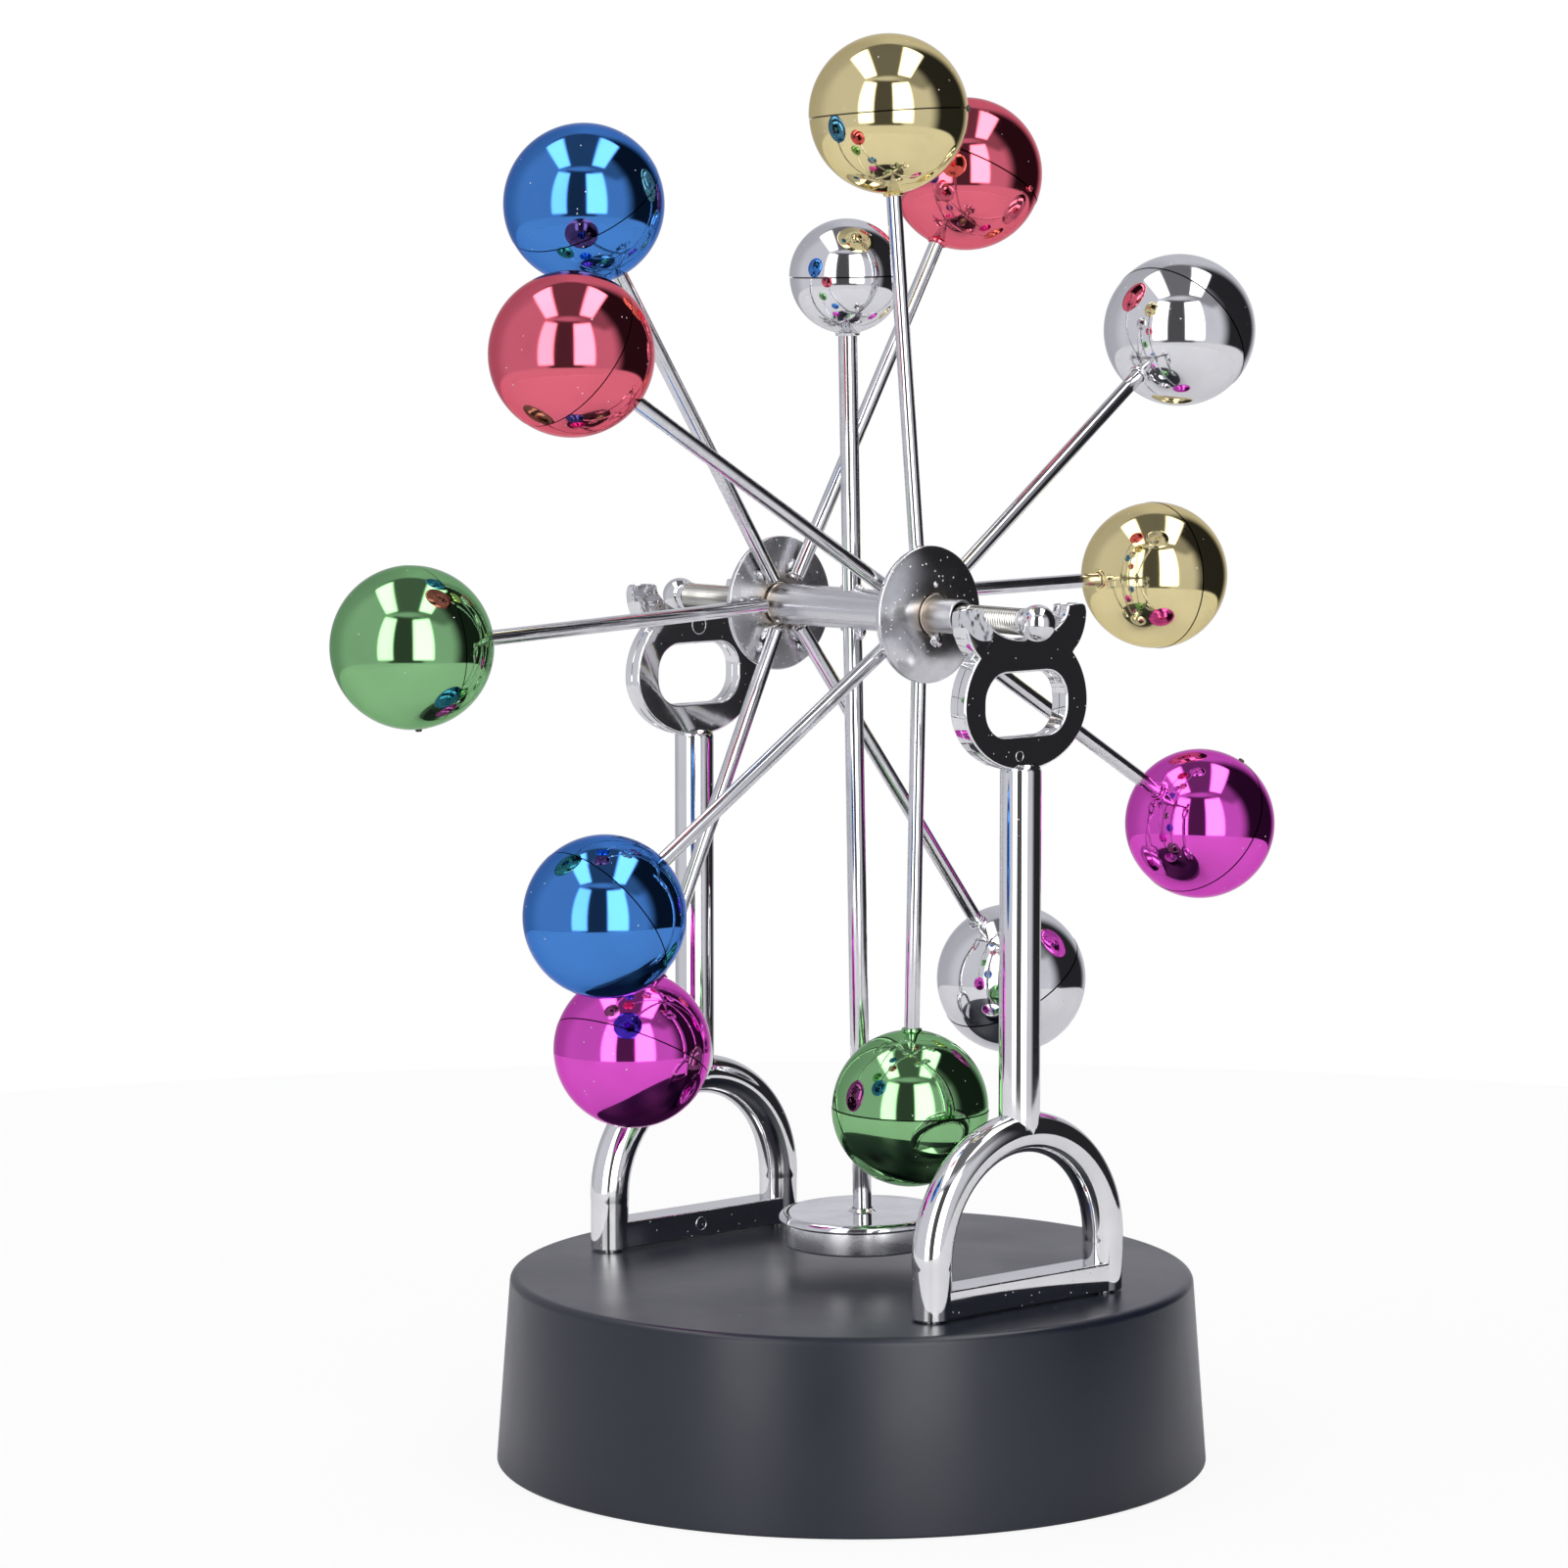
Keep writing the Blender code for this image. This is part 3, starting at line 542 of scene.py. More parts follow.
def circuit_green(name):
    """Solder mask over faint tracks."""
    made = new_surface(name, Coat_Weight=0.5)
    where = place_nodes(made)
    links = {"Vector": where, "Scale": 260}
    tracks = add(made.node_tree, "TexVoronoi", links, distance="CHEBYCHEV")
    raised = span(tracks.outputs["Distance"], 0.3, 0.34)
    shade = mixed(raised, (0.03, 0.16, 0.07), (0.06, 0.26, 0.1))
    roughness = span(grain(where, 900), 0.3, 0.7, 0.35, 0.5)
    return dress(made, shade, roughness, ((raised, 0.03, 0.5),))


def cell_sleeve(name):
    """Battery sleeve: dark, with a plain copper band at one end and bare metal past it."""
    made = new_surface(name, Coat_Weight=0.7, Coat_Roughness=0.12)
    band = span(in_mm(made)["Z"], 12, 12.2)
    bare = span(in_mm(made)["Z"], 23.6, 23.7)
    worn = grain(place_nodes(made), 500, 4)
    shade = mixed(band, (0.03, 0.03, 0.035), (0.55, 0.25, 0.1))
    shade = mixed(bare, shade, (0.55, 0.55, 0.56))
    metallic = maths("MAXIMUM", times(band, 0.6), bare)
    return dress(made, shade, span(worn, 0.3, 0.7, 0.22, 0.34), ((worn, 0.006, 0.3),), metallic)


# Maker, name and settings of each material: the record's slots, and tube_nickel,
# thread_steel and stub_brown, which only scene.py has.
SURFACE_LIST = (
    (mirror_plastic, "ball_gold", (0.84, 0.72, 0.37)),
    (mirror_plastic, "ball_silver", (0.8, 0.8, 0.82)),
    (mirror_plastic, "ball_magenta", (0.8, 0.085, 0.64)),
    (mirror_plastic, "ball_green", (0.255, 0.54, 0.235)),
    (mirror_plastic, "ball_blue", (0.058, 0.245, 0.7)),
    (mirror_plastic, "ball_red", (0.86, 0.145, 0.215)),
    (mirror_plastic, "chromed_plastic", (0.82, 0.82, 0.83), 0.02, False),
    (drawn_steel, "rod_steel"),
    (hub_metal, "hub_nickel", disc_tint, disc_back, 0.3, 0.14, 0.22),
    (hub_metal, "tube_nickel", tube_tint, tube_ends, 0, 0.22, 0.3, (1, 1, 0.04)),
    (polished, "polished_chrome", (0.78, 0.78, 0.8), 0.03, 0.09),
    (polished, "magnet_nickel", (0.7, 0.7, 0.72), 0.2, 0.36),
    (polished, "thread_steel", (0.52, 0.51, 0.48), 0.16, 0.26),
    (polished, "contact_steel", (0.62, 0.61, 0.6), 0.18, 0.32),
    (polished, "screw_steel", (0.58, 0.58, 0.58), 0.2, 0.35),
    (moulded, "stub_brown", (0.045, 0.032, 0.018), 0.35, 0.5),
    (moulded, "charcoal_plastic", (0.006, 0.008, 0.017), 0.3, 0.37, 0.008, 0.54),
    (moulded, "bobbin_plastic", (0.72, 0.71, 0.66), 0.4, 0.55),
    (moulded, "black_plastic", (0.018, 0.018, 0.02), 0.45, 0.6),
    (moulded, "pad_rubber", (0.02, 0.02, 0.021), 0.75, 0.9, 0.03, 0.3),
    (wound_copper, "copper_wire"),
    (circuit_green, "board_green"),
    (cell_sleeve, "cell_jacket"),
)
SURFACES = {name: make(name, *settings) for make, name, *settings in SURFACE_LIST}


# Pieces


def extra(name, mesh, like, place=IDENTITY, surface=None):
    """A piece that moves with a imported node's body and has its finish."""
    made = new_object(name, mesh)
    local = mesh.attributes.new(LOCAL, "FLOAT_VECTOR", "POINT")
    places = np.array([vertex.co for vertex in mesh.vertices]) * MM
    local.data.foreach_set("vector", places.ravel())
    mesh.transform(SCALE @ place)
    mesh.materials.clear()
    mesh.materials.append(SURFACES[surface or SLOT_OF[like]])
    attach(made, BODY_OF[like])
    return made


def show(node, mesh, place=IDENTITY, surface=None):
    """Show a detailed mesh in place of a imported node."""
    made = extra(f"{node}_detail", mesh, node, place, surface)
    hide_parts(node)
    return made


def show_solid(node, solid, place=IDENTITY):
    """Show a solid made by Booleans, whose flat faces stay flat in shading."""
    solid.shade_smooth()
    solid.set_sharp_from_angle(angle=SHARP_ANGLE)
    even = show(node, solid, place).modifiers.new("Even normals", "WEIGHTED_NORMAL")
    even.keep_sharp = True
    even.weight = 100


AXLE_Z = middle_of("axle_tube").z
AXLE_MIDDLE = Vector((0, 0, AXLE_Z))
GAP = 0.3
SPOKE_RADIUS = 1.15
SPOKE_INTO_BALL = 4
BALL_RADIUS = 12
BALL_SEAM = 0.2
BALL_STEP = 0.06
ROD_RADIUS = 1.45
BROWN_STUBS = ("front_ball_gold", "front_ball_magenta", "rear_ball_green")
STUB_SIDES = {
    "front_ball_gold": RIGHT + TOWARDS * 0.12,
    "rear_ball_red": RIGHT + TOWARDS * 0.55,
    "rear_ball_green": -UP + TOWARDS * 0.1,
    "front_ball_magenta": RIGHT * 0.5 + UP,
}


def rod_mesh(radius, length, rounding, segments):
    """Straight rod along Z."""
    profile = [(0, 0), (radius, 0, rounding), (radius, length, 0.1), (0, length)]
    return revolve(profile, segments)


def ball_mesh(radius, neck):
    """Two glued halves about the origin, with the spoke's neck at the bottom."""
    half = BALL_SEAM / 2
    seam_angle = degrees(half / radius)
    upper = arc((0, 0), (radius, radius), 90, seam_angle, 44)
    upper[0] = (0, radius)
    groove = [(radius - 0.45, half * side) for side in (0.7, -0.7)]
    radius -= BALL_STEP
    neck_outer = neck + 0.42
    neck_angle = -degrees(acos((neck_outer + 0.2) / radius))
    lower = arc((0, 0), (radius, radius), -seam_angle, neck_angle, 42)
    collar = [
        (neck_outer, -radius + 0.05, 0.05), (neck_outer - 0.05, -radius - 0.35, 0.1),
        (neck + 0.06, -radius - 0.35, 0.06), (neck + 0.02, -radius + 1.6), (0, -radius + 1.6),
    ]
    return revolve(upper + groove + lower + collar, 128)


def stub_mesh():
    """Stub left where the ball was held for plating."""
    profile = [(0, -0.3), (0.55, -0.3), (0.46, 0.34, 0.1), (0.2, 0.4, 0.05), (0, 0.3)]
    return revolve(profile, 20, steps=3)


def build_wheels():
    """Spokes and balls of both wheels."""
    for wheel, _side in WHEELS:
        for node, root, tip in spokes(wheel):
            place = along(root, tip)
            show(node, rod_mesh(SPOKE_RADIUS, (tip - root).length, 0.25, 40), place)

            ball = node.replace("spoke", "ball")
            outward = (tip - root).normalized()
            centre = tip + outward * (BALL_RADIUS - SPOKE_INTO_BALL)
            place.translation = centre
            show(ball, ball_mesh(BALL_RADIUS, SPOKE_RADIUS), place)

            side = STUB_SIDES.get(ball, -TOWARDS)
            side = (side - outward * side.dot(outward)).normalized()
            start = centre + side * (BALL_RADIUS - 0.05)
            stub_place = along(start, centre + side * 2 * BALL_RADIUS)
            brown = "stub_brown" if ball in BROWN_STUBS else None
            extra(f"{ball}_stub", stub_mesh(), ball, stub_place, brown)


def build_pendulum():
    """Rod, top ball, polished plate and magnet."""
    foot, top = rod_ends()
    place = along(foot, top)
    length = (top - foot).length
    show("pendulum_rod", rod_mesh(ROD_RADIUS, length, 0.2, 48), place)

    radius = size_of("top_ball").x / 2
    above = at(0, 0, length + radius - SPOKE_INTO_BALL)
    show("top_ball", ball_mesh(radius, ROD_RADIUS), place @ above)

    radius = size_of("weight_plate").x / 2
    bore = ROD_RADIUS + 0.15
    high = 2.2 - GAP
    low = high - 1.3
    inner = high - 0.06
    plate = [
        (bore, low), (radius - 0.5, low, 0.1), (radius, low + 0.12, 0.12), (radius, high, 0.95),
        (radius - 1.6, high, 0.3), (radius - 1.9, inner, 0.3), (ROD_RADIUS + 0.9, inner, 0.3),
        (bore, high + 0.4),
    ]
    show("weight_plate", revolve(plate, 160, ring=True), place)

    radius = size_of("drive_magnet").x / 2
    high = low - 0.05
    low = -2 * GAP - 2.5
    inner = low + 0.08
    magnet = [
        (0, high), (radius, high, 0.25), (radius, low, 0.35), (radius - 1.4, low, 0.1),
        (radius - 1.6, inner, 0.1), (0, inner),
    ]
    show("drive_magnet", revolve(magnet, 160), place)


STUD_RADIUS = 2
THREAD_PITCH = 0.5
THREAD_DEPTH = 0.26
THREAD_STEPS = 8


def thread_mesh(radius, start, end, shank):
    """Rod along Z with a smooth shank and then a helical thread."""
    shank_radius = radius - 0.12
    rings = [
        circle(0, start), circle(shank_radius - 0.2, start),
        circle(shank_radius, start + 0.2), circle(shank_radius, start + shank),
    ]
    count = int((end - start - shank) / THREAD_PITCH * THREAD_STEPS)
    for index in range(count + 1):
        height = start + shank + THREAD_PITCH * index / THREAD_STEPS
        fade = min(1, index / THREAD_STEPS, (count - index) / THREAD_STEPS)
        ring = []
        for step in range(ROUND_SEGMENTS):
            angle = tau * step / ROUND_SEGMENTS
            phase = (index / THREAD_STEPS - step / ROUND_SEGMENTS) % 1
            dip = min(1, max(0, 1.35 * (1 - abs(2 * phase - 1)) - 0.1))
            reach = radius - THREAD_DEPTH * dip * fade
            ring.append(Vector((reach * cos(angle), reach * sin(angle), height)))
        rings.append(ring)
    return loft([*rings, circle(0, end)])


def disc_mesh(hole, radius, inner, outer):
    """Stamped disc whose outer face domes a little towards its rim."""
    dome = 1.1
    steps = 14
    start = hole + 0.2
    width = radius - 0.35 - hole - 0.2
    shares = [step / steps for step in range(steps + 1)]
    face = [(start + width * share, outer - dome * share * share) for share in shares]
    rim = [
        (radius, face[-1][1] - 0.06, 0.3), (radius, inner, 0.25), (start, inner, 0.12),
        (hole, inner + 0.2), (hole, outer - 0.2),
    ]
    return revolve(face + rim, 128, ring=True)


def build_axle():
    """Tube, threaded studs, ball nuts and slightly domed hub discs."""
    size = size_of("axle_tube")
    outer = size.z / 2
    half = size.x / 2
    bore = 2.15
    end = outer - 0.55
    disc_near, disc_far = x_reach("front_hub_disc")
    groove = disc_near - 0.45
    step = disc_far + 0.2
    right = [
        (outer, groove - 0.14), (outer - 0.16, groove), (outer, groove + 0.14),
        (outer, step, 0.12), (end, step), (end, half, 0.2),
        (bore + 0.2, half), (bore, half - 0.2),
    ]
    left = [(r, -x, *rounding) for r, x, *rounding in reversed(right)]
    place = along(AXLE_MIDDLE, AXLE_MIDDLE + ALONG_X)
    show("axle_tube", revolve(left + right, ring=True), place, "tube_nickel")

    for wheel, side in WHEELS:
        place = along(AXLE_MIDDLE, AXLE_MIDDLE + ALONG_X * side)
        stud, nut, disc = (f"{wheel}_{kind}" for kind in ("axle_stud", "ball_nut", "hub_disc"))
        near, far = x_reach(stud)
        shank = half + 2 - near
        show(stud, thread_mesh(STUD_RADIUS, near, far, shank), place, "thread_steel")

        radius = size_of(nut).z / 2
        nut_end = x_reach(nut)[1]
        middle = nut_end - radius
        mouth = middle - 2.6
        socket = STUD_RADIUS + 0.05
        seat = far + 0.1
        ball = arc((0, middle), (radius, radius), 90, -38, 36)
        ball[0] = (0, nut_end)
        neck = ball[-1][0] - 0.05
        ball += [
            (neck, mouth + 0.5, 0.15), (neck, mouth, 0.15), (socket, mouth, 0.05), (socket, seat),
            (0, seat),
        ]
        show(nut, revolve(ball), place)

        size = size_of(disc)
        face = x_reach(disc)[0]
        hole = outer + 0.12
        show(disc, disc_mesh(hole, size.z / 2, face, face + size.x), place)


def bead_mesh(beads):
    """Weld beads in one mesh; each is (place, direction, length, width)."""
    shape = bmesh.new()
    for number, (place, heading, length, width) in enumerate(beads):
        made = bmesh.ops.create_icosphere(shape, subdivisions=4, radius=1)
        turn = heading.to_track_quat("Z", "Y").to_matrix()
        for vertex in made["verts"]:
            unit = vertex.co.copy()
            lump = 1 + 0.28 * noise.noise(unit * 1.9 + Vector((number * 7.3, 0, 0)))
            lump += 0.1 * noise.noise(unit * 4.5 + Vector((0, number * 3.1, 0)))
            size = Vector((unit.x * width, unit.y * width, unit.z * length))
            vertex.co = place + turn @ size * lump
    return smooth_mesh(shape, sharp=False)


def build_welds():
    """Beads where the spokes, tube and rod are welded."""
    for wheel, side in WHEELS:
        inner = side * x_reach(f"{wheel}_hub_disc")[0]
        beads = []
        for _node, root, tip in spokes(wheel):
            outward = (tip - root).normalized()
            across = outward.cross(ALONG_X).normalized()
            for way, start, length in ((1, 0.9, 1.2), (-1, 1.5, 1), (1, 3.4, 0.8)):
                spot = root + outward * start + across * way
                spot.x = inner - side * 0.35
                beads.append((spot, outward, length, 0.5))
            spot = root + outward * 0.15
            spot.x = inner - side * 0.7
            beads.append((spot, across, 1, 0.65))
        extra(f"{wheel}_spoke_welds", bead_mesh(beads), f"{wheel}_spoke_gold")

    foot, top = rod_ends()
    rod = (top - foot).normalized()
    outer = size_of("axle_tube").z / 2
    disc = x_reach("front_hub_disc")[1]
    # Each is how far up the rod from the axle's middle, x, y, z, direction, length, width.
    rows = (
        (outer + 0.1, 1.5, 0, 0, ALONG_X, 1, 0.55),
        (outer, -1.5, 0, 0, ALONG_X, 0.9, 0.5),
        (-outer - 0.5, 1.6, 0, 0, rod, 1.1, 0.85),
        (-outer, -1.5, 0, 0, ALONG_X, 0.9, 0.6),
        (0, disc - 0.1, 0.3, -3.7, ALONG_X, 0.55, 1.15),
        (0, disc - 0.15, 0.2, 4.6, ALONG_X, 0.35, 0.45),
        (0, 1.9 - disc, -0.6, -4.4, ALONG_X, 0.9, 1.2),
    )
    beads = [
        (AXLE_MIDDLE + rod * rise + Vector(offset), heading, length, width)
        for rise, *offset, heading, length, width in rows
    ]
    extra("axle_welds", bead_mesh(beads), "pendulum_rod")


# Stand: driving sizes, from the axle line (head) and from the base (foot).
STEM_RADIUS = 3.05
HEAD_THICKNESS = 3.3
HEAD_OFFSET_X = -0.4
HEAD_FACE = HEAD_THICKNESS / 2 + HEAD_OFFSET_X
HEAD_MIDDLE = -12.2
HEAD_HALF_WIDTH = 12.6
HEAD_LOWER = 9.8
HEAD_UPPER = 11.4
NOTCH_DEG = 40
HORN_TOP = 2.25
HORN_OUTER = 12.4
HORN_CENTRE = (6, 1.1)
HORN_HEIGHT = 7.2
HORN_START_DEG = -52
SADDLE_HALF_WIDTH = 8.4
SADDLE_DEPTH = 4.75
SLOT_SIZE = (16.5, 9.6)
SLOT_CORNER = 4.2
ARCH_RADIUS = 17.7
ARCH_SECTION = 3.05
ARCH_STEPS = 72
ARCH_LIP = 0.9
LEG_HEIGHT = 8.2
BAR_HALF_WIDTH = 2.7
BAR_HEIGHT = 4.3
PEG_RADIUS = 1.8
EDGE = 0.32
SEAM_HEIGHT = 0.06
SCAR_CENTRE = (-8.3, 2.4)
SCAR_RADIUS = 4.8
SCAR_DEPTH = 0.55
SCAR_SLOPE = (0.08, 0.21)
SCAR_CRINKLE = 0.13


def head_outline():
    """Saddle plate's outline, from the bottom up one side and down the other."""
    middle = (0, HEAD_MIDDLE)
    lower = arc(middle, (HEAD_HALF_WIDTH, HEAD_LOWER), -90, 0, 36)
    upper = arc(middle, (HEAD_HALF_WIDTH, HEAD_UPPER), 0, NOTCH_DEG, 14)[1:]
    radii = (HORN_OUTER - HORN_CENTRE[0], HORN_HEIGHT)
    horn = arc(HORN_CENTRE, radii, HORN_START_DEG, 0, 18)
    tip = [
        (HORN_OUTER - 0.25, HORN_TOP - 0.3), (HORN_OUTER - 0.7, HORN_TOP),
        (SADDLE_HALF_WIDTH + 0.25, HORN_TOP),
    ]
    radii = (SADDLE_HALF_WIDTH, SADDLE_DEPTH - 0.2)
    saddle = arc((0, HORN_TOP - 0.2), radii, 0, -90, 30)
    half = lower + upper + horn + tip + saddle
    return half + [(-y, z) for y, z in reversed(half[1:-1])]


def slot_outline():
    """Rounded slot through the saddle plate."""
    half_y, half_z = (size / 2 - SLOT_CORNER for size in SLOT_SIZE)
    points = []
    for quarter, (side_y, side_z) in enumerate(((1, 1), (-1, 1), (-1, -1), (1, -1))):
        centre = (side_y * half_y, HEAD_MIDDLE + side_z * half_z)
        start = 90 * quarter
        points += arc(centre, (SLOT_CORNER, SLOT_CORNER), start, start + 90, 12)
    return points


def inset(outline, amount):
    """Move a closed outline inwards (to its left) by an amount."""
    moved = []
    for index, point in enumerate(outline):
        here = Vector(point)
        first = (here - Vector(outline[index - 1])).normalized()
        second = (Vector(outline[(index + 1) % len(outline)]) - here).normalized()
        normal_1 = Vector((-first.y, first.x))
        normal_2 = Vector((-second.y, second.x))
        normal = (normal_1 + normal_2).normalized()
        stretch = 1 / max(0.5, normal.dot(normal_1))
        moved.append(here + normal * (amount * stretch))
    return moved


def rim_steps():
    """(inset, X) of a plate's edge: rounded, with the mould's seam halfway."""
    start = HEAD_THICKNESS / 2 - EDGE
    angles = [radians(90 - 90 * step / 4) for step in range(5)]
    steps = [(EDGE * (1 - cos(turn)), start + EDGE * sin(turn)) for turn in angles]
    steps += [(0, 0.12), (-SEAM_HEIGHT, 0.04)]
    return steps + [(amount, -x) for amount, x in reversed(steps)]


def plate_mesh(outer, hole):
    """Plate across X with rounded edges and a rounded hole."""
    shape = bmesh.new()
    faces = ([], [])
    for outline in (outer, list(reversed(hole))):
        rings = [
            [shape.verts.new((x, y, z)) for y, z in inset(outline, amount)]
            for amount, x in rim_steps()
        ]
        afters = [(index + 1) % len(outline) for index in range(len(outline))]
        for first, second in zip(rings, rings[1:]):
            for here, after in enumerate(afters):
                shape.faces.new((first[here], first[after], second[after], second[here]))
        for edges, ring in zip(faces, (rings[0], rings[-1])):
            edges += [shape.edges.get((ring[here - 1], ring[here])) for here in afters]
    for edges in faces:
        bmesh.ops.triangle_fill(shape, edges=edges, use_beauty=True)
    bmesh.ops.recalc_face_normals(shape, faces=shape.faces)
    return smooth_mesh(shape)


def seam_ridge(angle):
    """Height of the mould's seam round a section, a fine ridge on two sides."""
    sides = (0, pi, tau)
    return 0.7 * SEAM_HEIGHT * sum(exp(-(((angle - side) / 0.045) ** 2)) for side in sides)


def arch_mesh(foot):
    """Legs and arch as one bent bar, the arch a little proud of the legs."""
    arch_z = foot + LEG_HEIGHT
    lip_z = arch_z - ARCH_LIP
    leg = [  # (height, how much thinner than the arch)
        (foot, 0.16), (foot + (lip_z - foot) * 0.015, 0.06), (foot + (lip_z - foot) * 0.5, 0.06),
        (lip_z, 0.06), (lip_z + ARCH_LIP * 0.2, 0.055), (lip_z + ARCH_LIP * 0.6, 0.03),
        (arch_z, 0),
    ]
    up = [(Vector((0, ARCH_RADIUS, z)), ARCH_SECTION - thinner) for z, thinner in leg]
    down = [(Vector((0, -ARCH_RADIUS, point.z)), width) for point, width in reversed(up)]
    angles = [pi * step / ARCH_STEPS for step in range(1, ARCH_STEPS)]
    bend = [(ARCH_RADIUS * cos(turn), arch_z + ARCH_RADIUS * sin(turn)) for turn in angles]
    over = [(Vector((0, y, z)), ARCH_SECTION) for y, z in bend]
    path, widths = zip(*up, *over, *down)

    def section(share, angle):
        return widths[round(share * (len(path) - 1))] + seam_ridge(angle)

    return tube(path, section)


def stem_mesh(start, end):
    """Stem between two heights, with its top end rounded over."""
    steps = 120

    def section(share, angle):
        past = max(0, share * steps - (steps - 2)) / 2
        return (STEM_RADIUS + seam_ridge(angle)) * (1 - 0.28 * past * past)

    heights = [start + (end - start) * step / steps for step in range(steps + 1)]
    return tube([Vector((0, 0, height)) for height in heights], section)


def ring_mark(radius):
    """Raised ring that an ejector pin leaves."""
    width, height = 0.09, 0.07
    foot = [(radius - width, -0.3), (radius + width, -0.3)]
    return revolve(arc((radius, 0), (width, height), 0, 180, 6) + foot, 40, ring=True)


def scar_mesh():
    """Tool for the crinkled, tilted face that a snapped-off gate leaves."""

    def floor_at(point):
        crinkle = noise.noise(point / 1.1) + 0.5 * noise.noise(point / 0.5)
        slope = SCAR_SLOPE[1] * point.y + SCAR_SLOPE[0] * point.x
        return Vector((point.x, point.y, slope - SCAR_DEPTH + SCAR_CRINKLE * crinkle))

    steps = 24
    rings = [circle(SCAR_RADIUS * step / steps, 0, 72) for step in range(steps + 1)]
    rings = [[floor_at(point) for point in ring] for ring in rings]
    return loft([*rings, circle(SCAR_RADIUS, 4, 72)])


def stand_mesh(foot, marks):
    """One stand about (0, 0, 0) on the axle line's height; marks are (y, z, x, radius)."""
    start = foot + LEG_HEIGHT + ARCH_RADIUS - 0.5
    stem = stem_mesh(start, AXLE_Z + HEAD_MIDDLE - HEAD_LOWER + 0.9)
    solid = fused(arch_mesh(foot), stem)
    bar_low = (-BAR_HALF_WIDTH, -ARCH_RADIUS, foot + 0.02)
    bar = box_mesh(bar_low, (BAR_HALF_WIDTH, ARCH_RADIUS, foot + BAR_HEIGHT), 0.3)
    solid = fused(solid, bar)
    solid.transform(at(0, 0, -AXLE_Z))
    plate = plate_mesh(head_outline(), slot_outline())
    solid = fused(solid, plate, at(HEAD_OFFSET_X, 0, 0))
    for y, z, x, radius in marks:
        solid = fused(solid, ring_mark(radius), at(x, y, z) @ LIE)
    for side in (-1, 1):
        peg = [(0, -6), (PEG_RADIUS, -6, 0.4), (PEG_RADIUS, 0.5), (0, 0.5)]
        place = at(0, side * ARCH_RADIUS, foot - AXLE_Z)
        solid = fused(solid, revolve(peg, 32), place)
    return cut(solid, scar_mesh(), at(HEAD_FACE, *SCAR_CENTRE) @ LIE)


def build_stands():
    """Both stands, each with its own ejector marks."""
    foot = box("base_shell")[1].z + GAP
    bar_middle = foot + BAR_HEIGHT / 2 - AXLE_Z
    head_foot = HEAD_MIDDLE - HEAD_LOWER
    front_marks = [(-1.4, head_foot + 2.2, HEAD_FACE - 0.03, 0.75)]
    rear_marks = [(0, -4.5, HEAD_FACE, 1.4), (-1, bar_middle, BAR_HALF_WIDTH, 1.05)]
    for node, marks in (("front_stand", front_marks), ("rear_stand", rear_marks)):
        show_solid(node, stand_mesh(foot, marks), at(middle_of(node).x, 0, AXLE_Z))


def build_base():
    """Drafted round shell with softened edges."""
    low, high = box("base_shell")
    bottom = CAD_BOX[0].z / MM + 0.2
    radius = (high.x - low.x) / 2
    inner = radius - 2.4
    roof = high.z - 2.5
    profile = [
        (0, high.z), (radius - 2.2, high.z, 1.3), (radius, bottom + 0.3, 0.2),
        (radius - 0.3, bottom, 0.2), (inner, bottom, 0.2), (inner - 2, roof, 0.8), (0, roof),
    ]
    show("base_shell", revolve(profile, 256, steps=8))


def plug(radius, low, high, segments, top_radius=None):
    """Tool for a round hole, with its top narrower where top_radius is given."""
    profile = [(0, low), (radius, low), (top_radius or radius, high), (0, high)]
    return revolve(profile, segments)


SCREW_HEAD = 2.7


def screw_mesh(length):
    """Cross-head screw, with its head at the bottom."""
    head = [
        (0, 0), (SCREW_HEAD * 0.7, 0, 0.3), (SCREW_HEAD, 0.5, 0.2), (SCREW_HEAD, 1.2, 0.1),
        (0, 1.2),
    ]
    body = revolve(head, 48)
    for turn in (0, 90):
        cross = box_mesh((-1.5, -0.3, 0), (1.5, 0.3, 0.8), 0.08)
        body = cut(body, cross, Matrix.Rotation(radians(turn), 4, "Z"))
    shaft = thread_mesh(1.3, 1, length, 0.4)
    return joined([(body, IDENTITY), (shaft, IDENTITY)])


def pad_mesh(radius, height):
    """Rubber foot with a fine groove in its face."""
    return revolve([
        (0, 0), (radius - 1.2, 0, 0.1), (radius - 1, 0.2, 0.1), (radius - 0.8, 0, 0.1),
        (radius, 0, 0.4), (radius, height, 0.1), (0, height),
    ], 64)


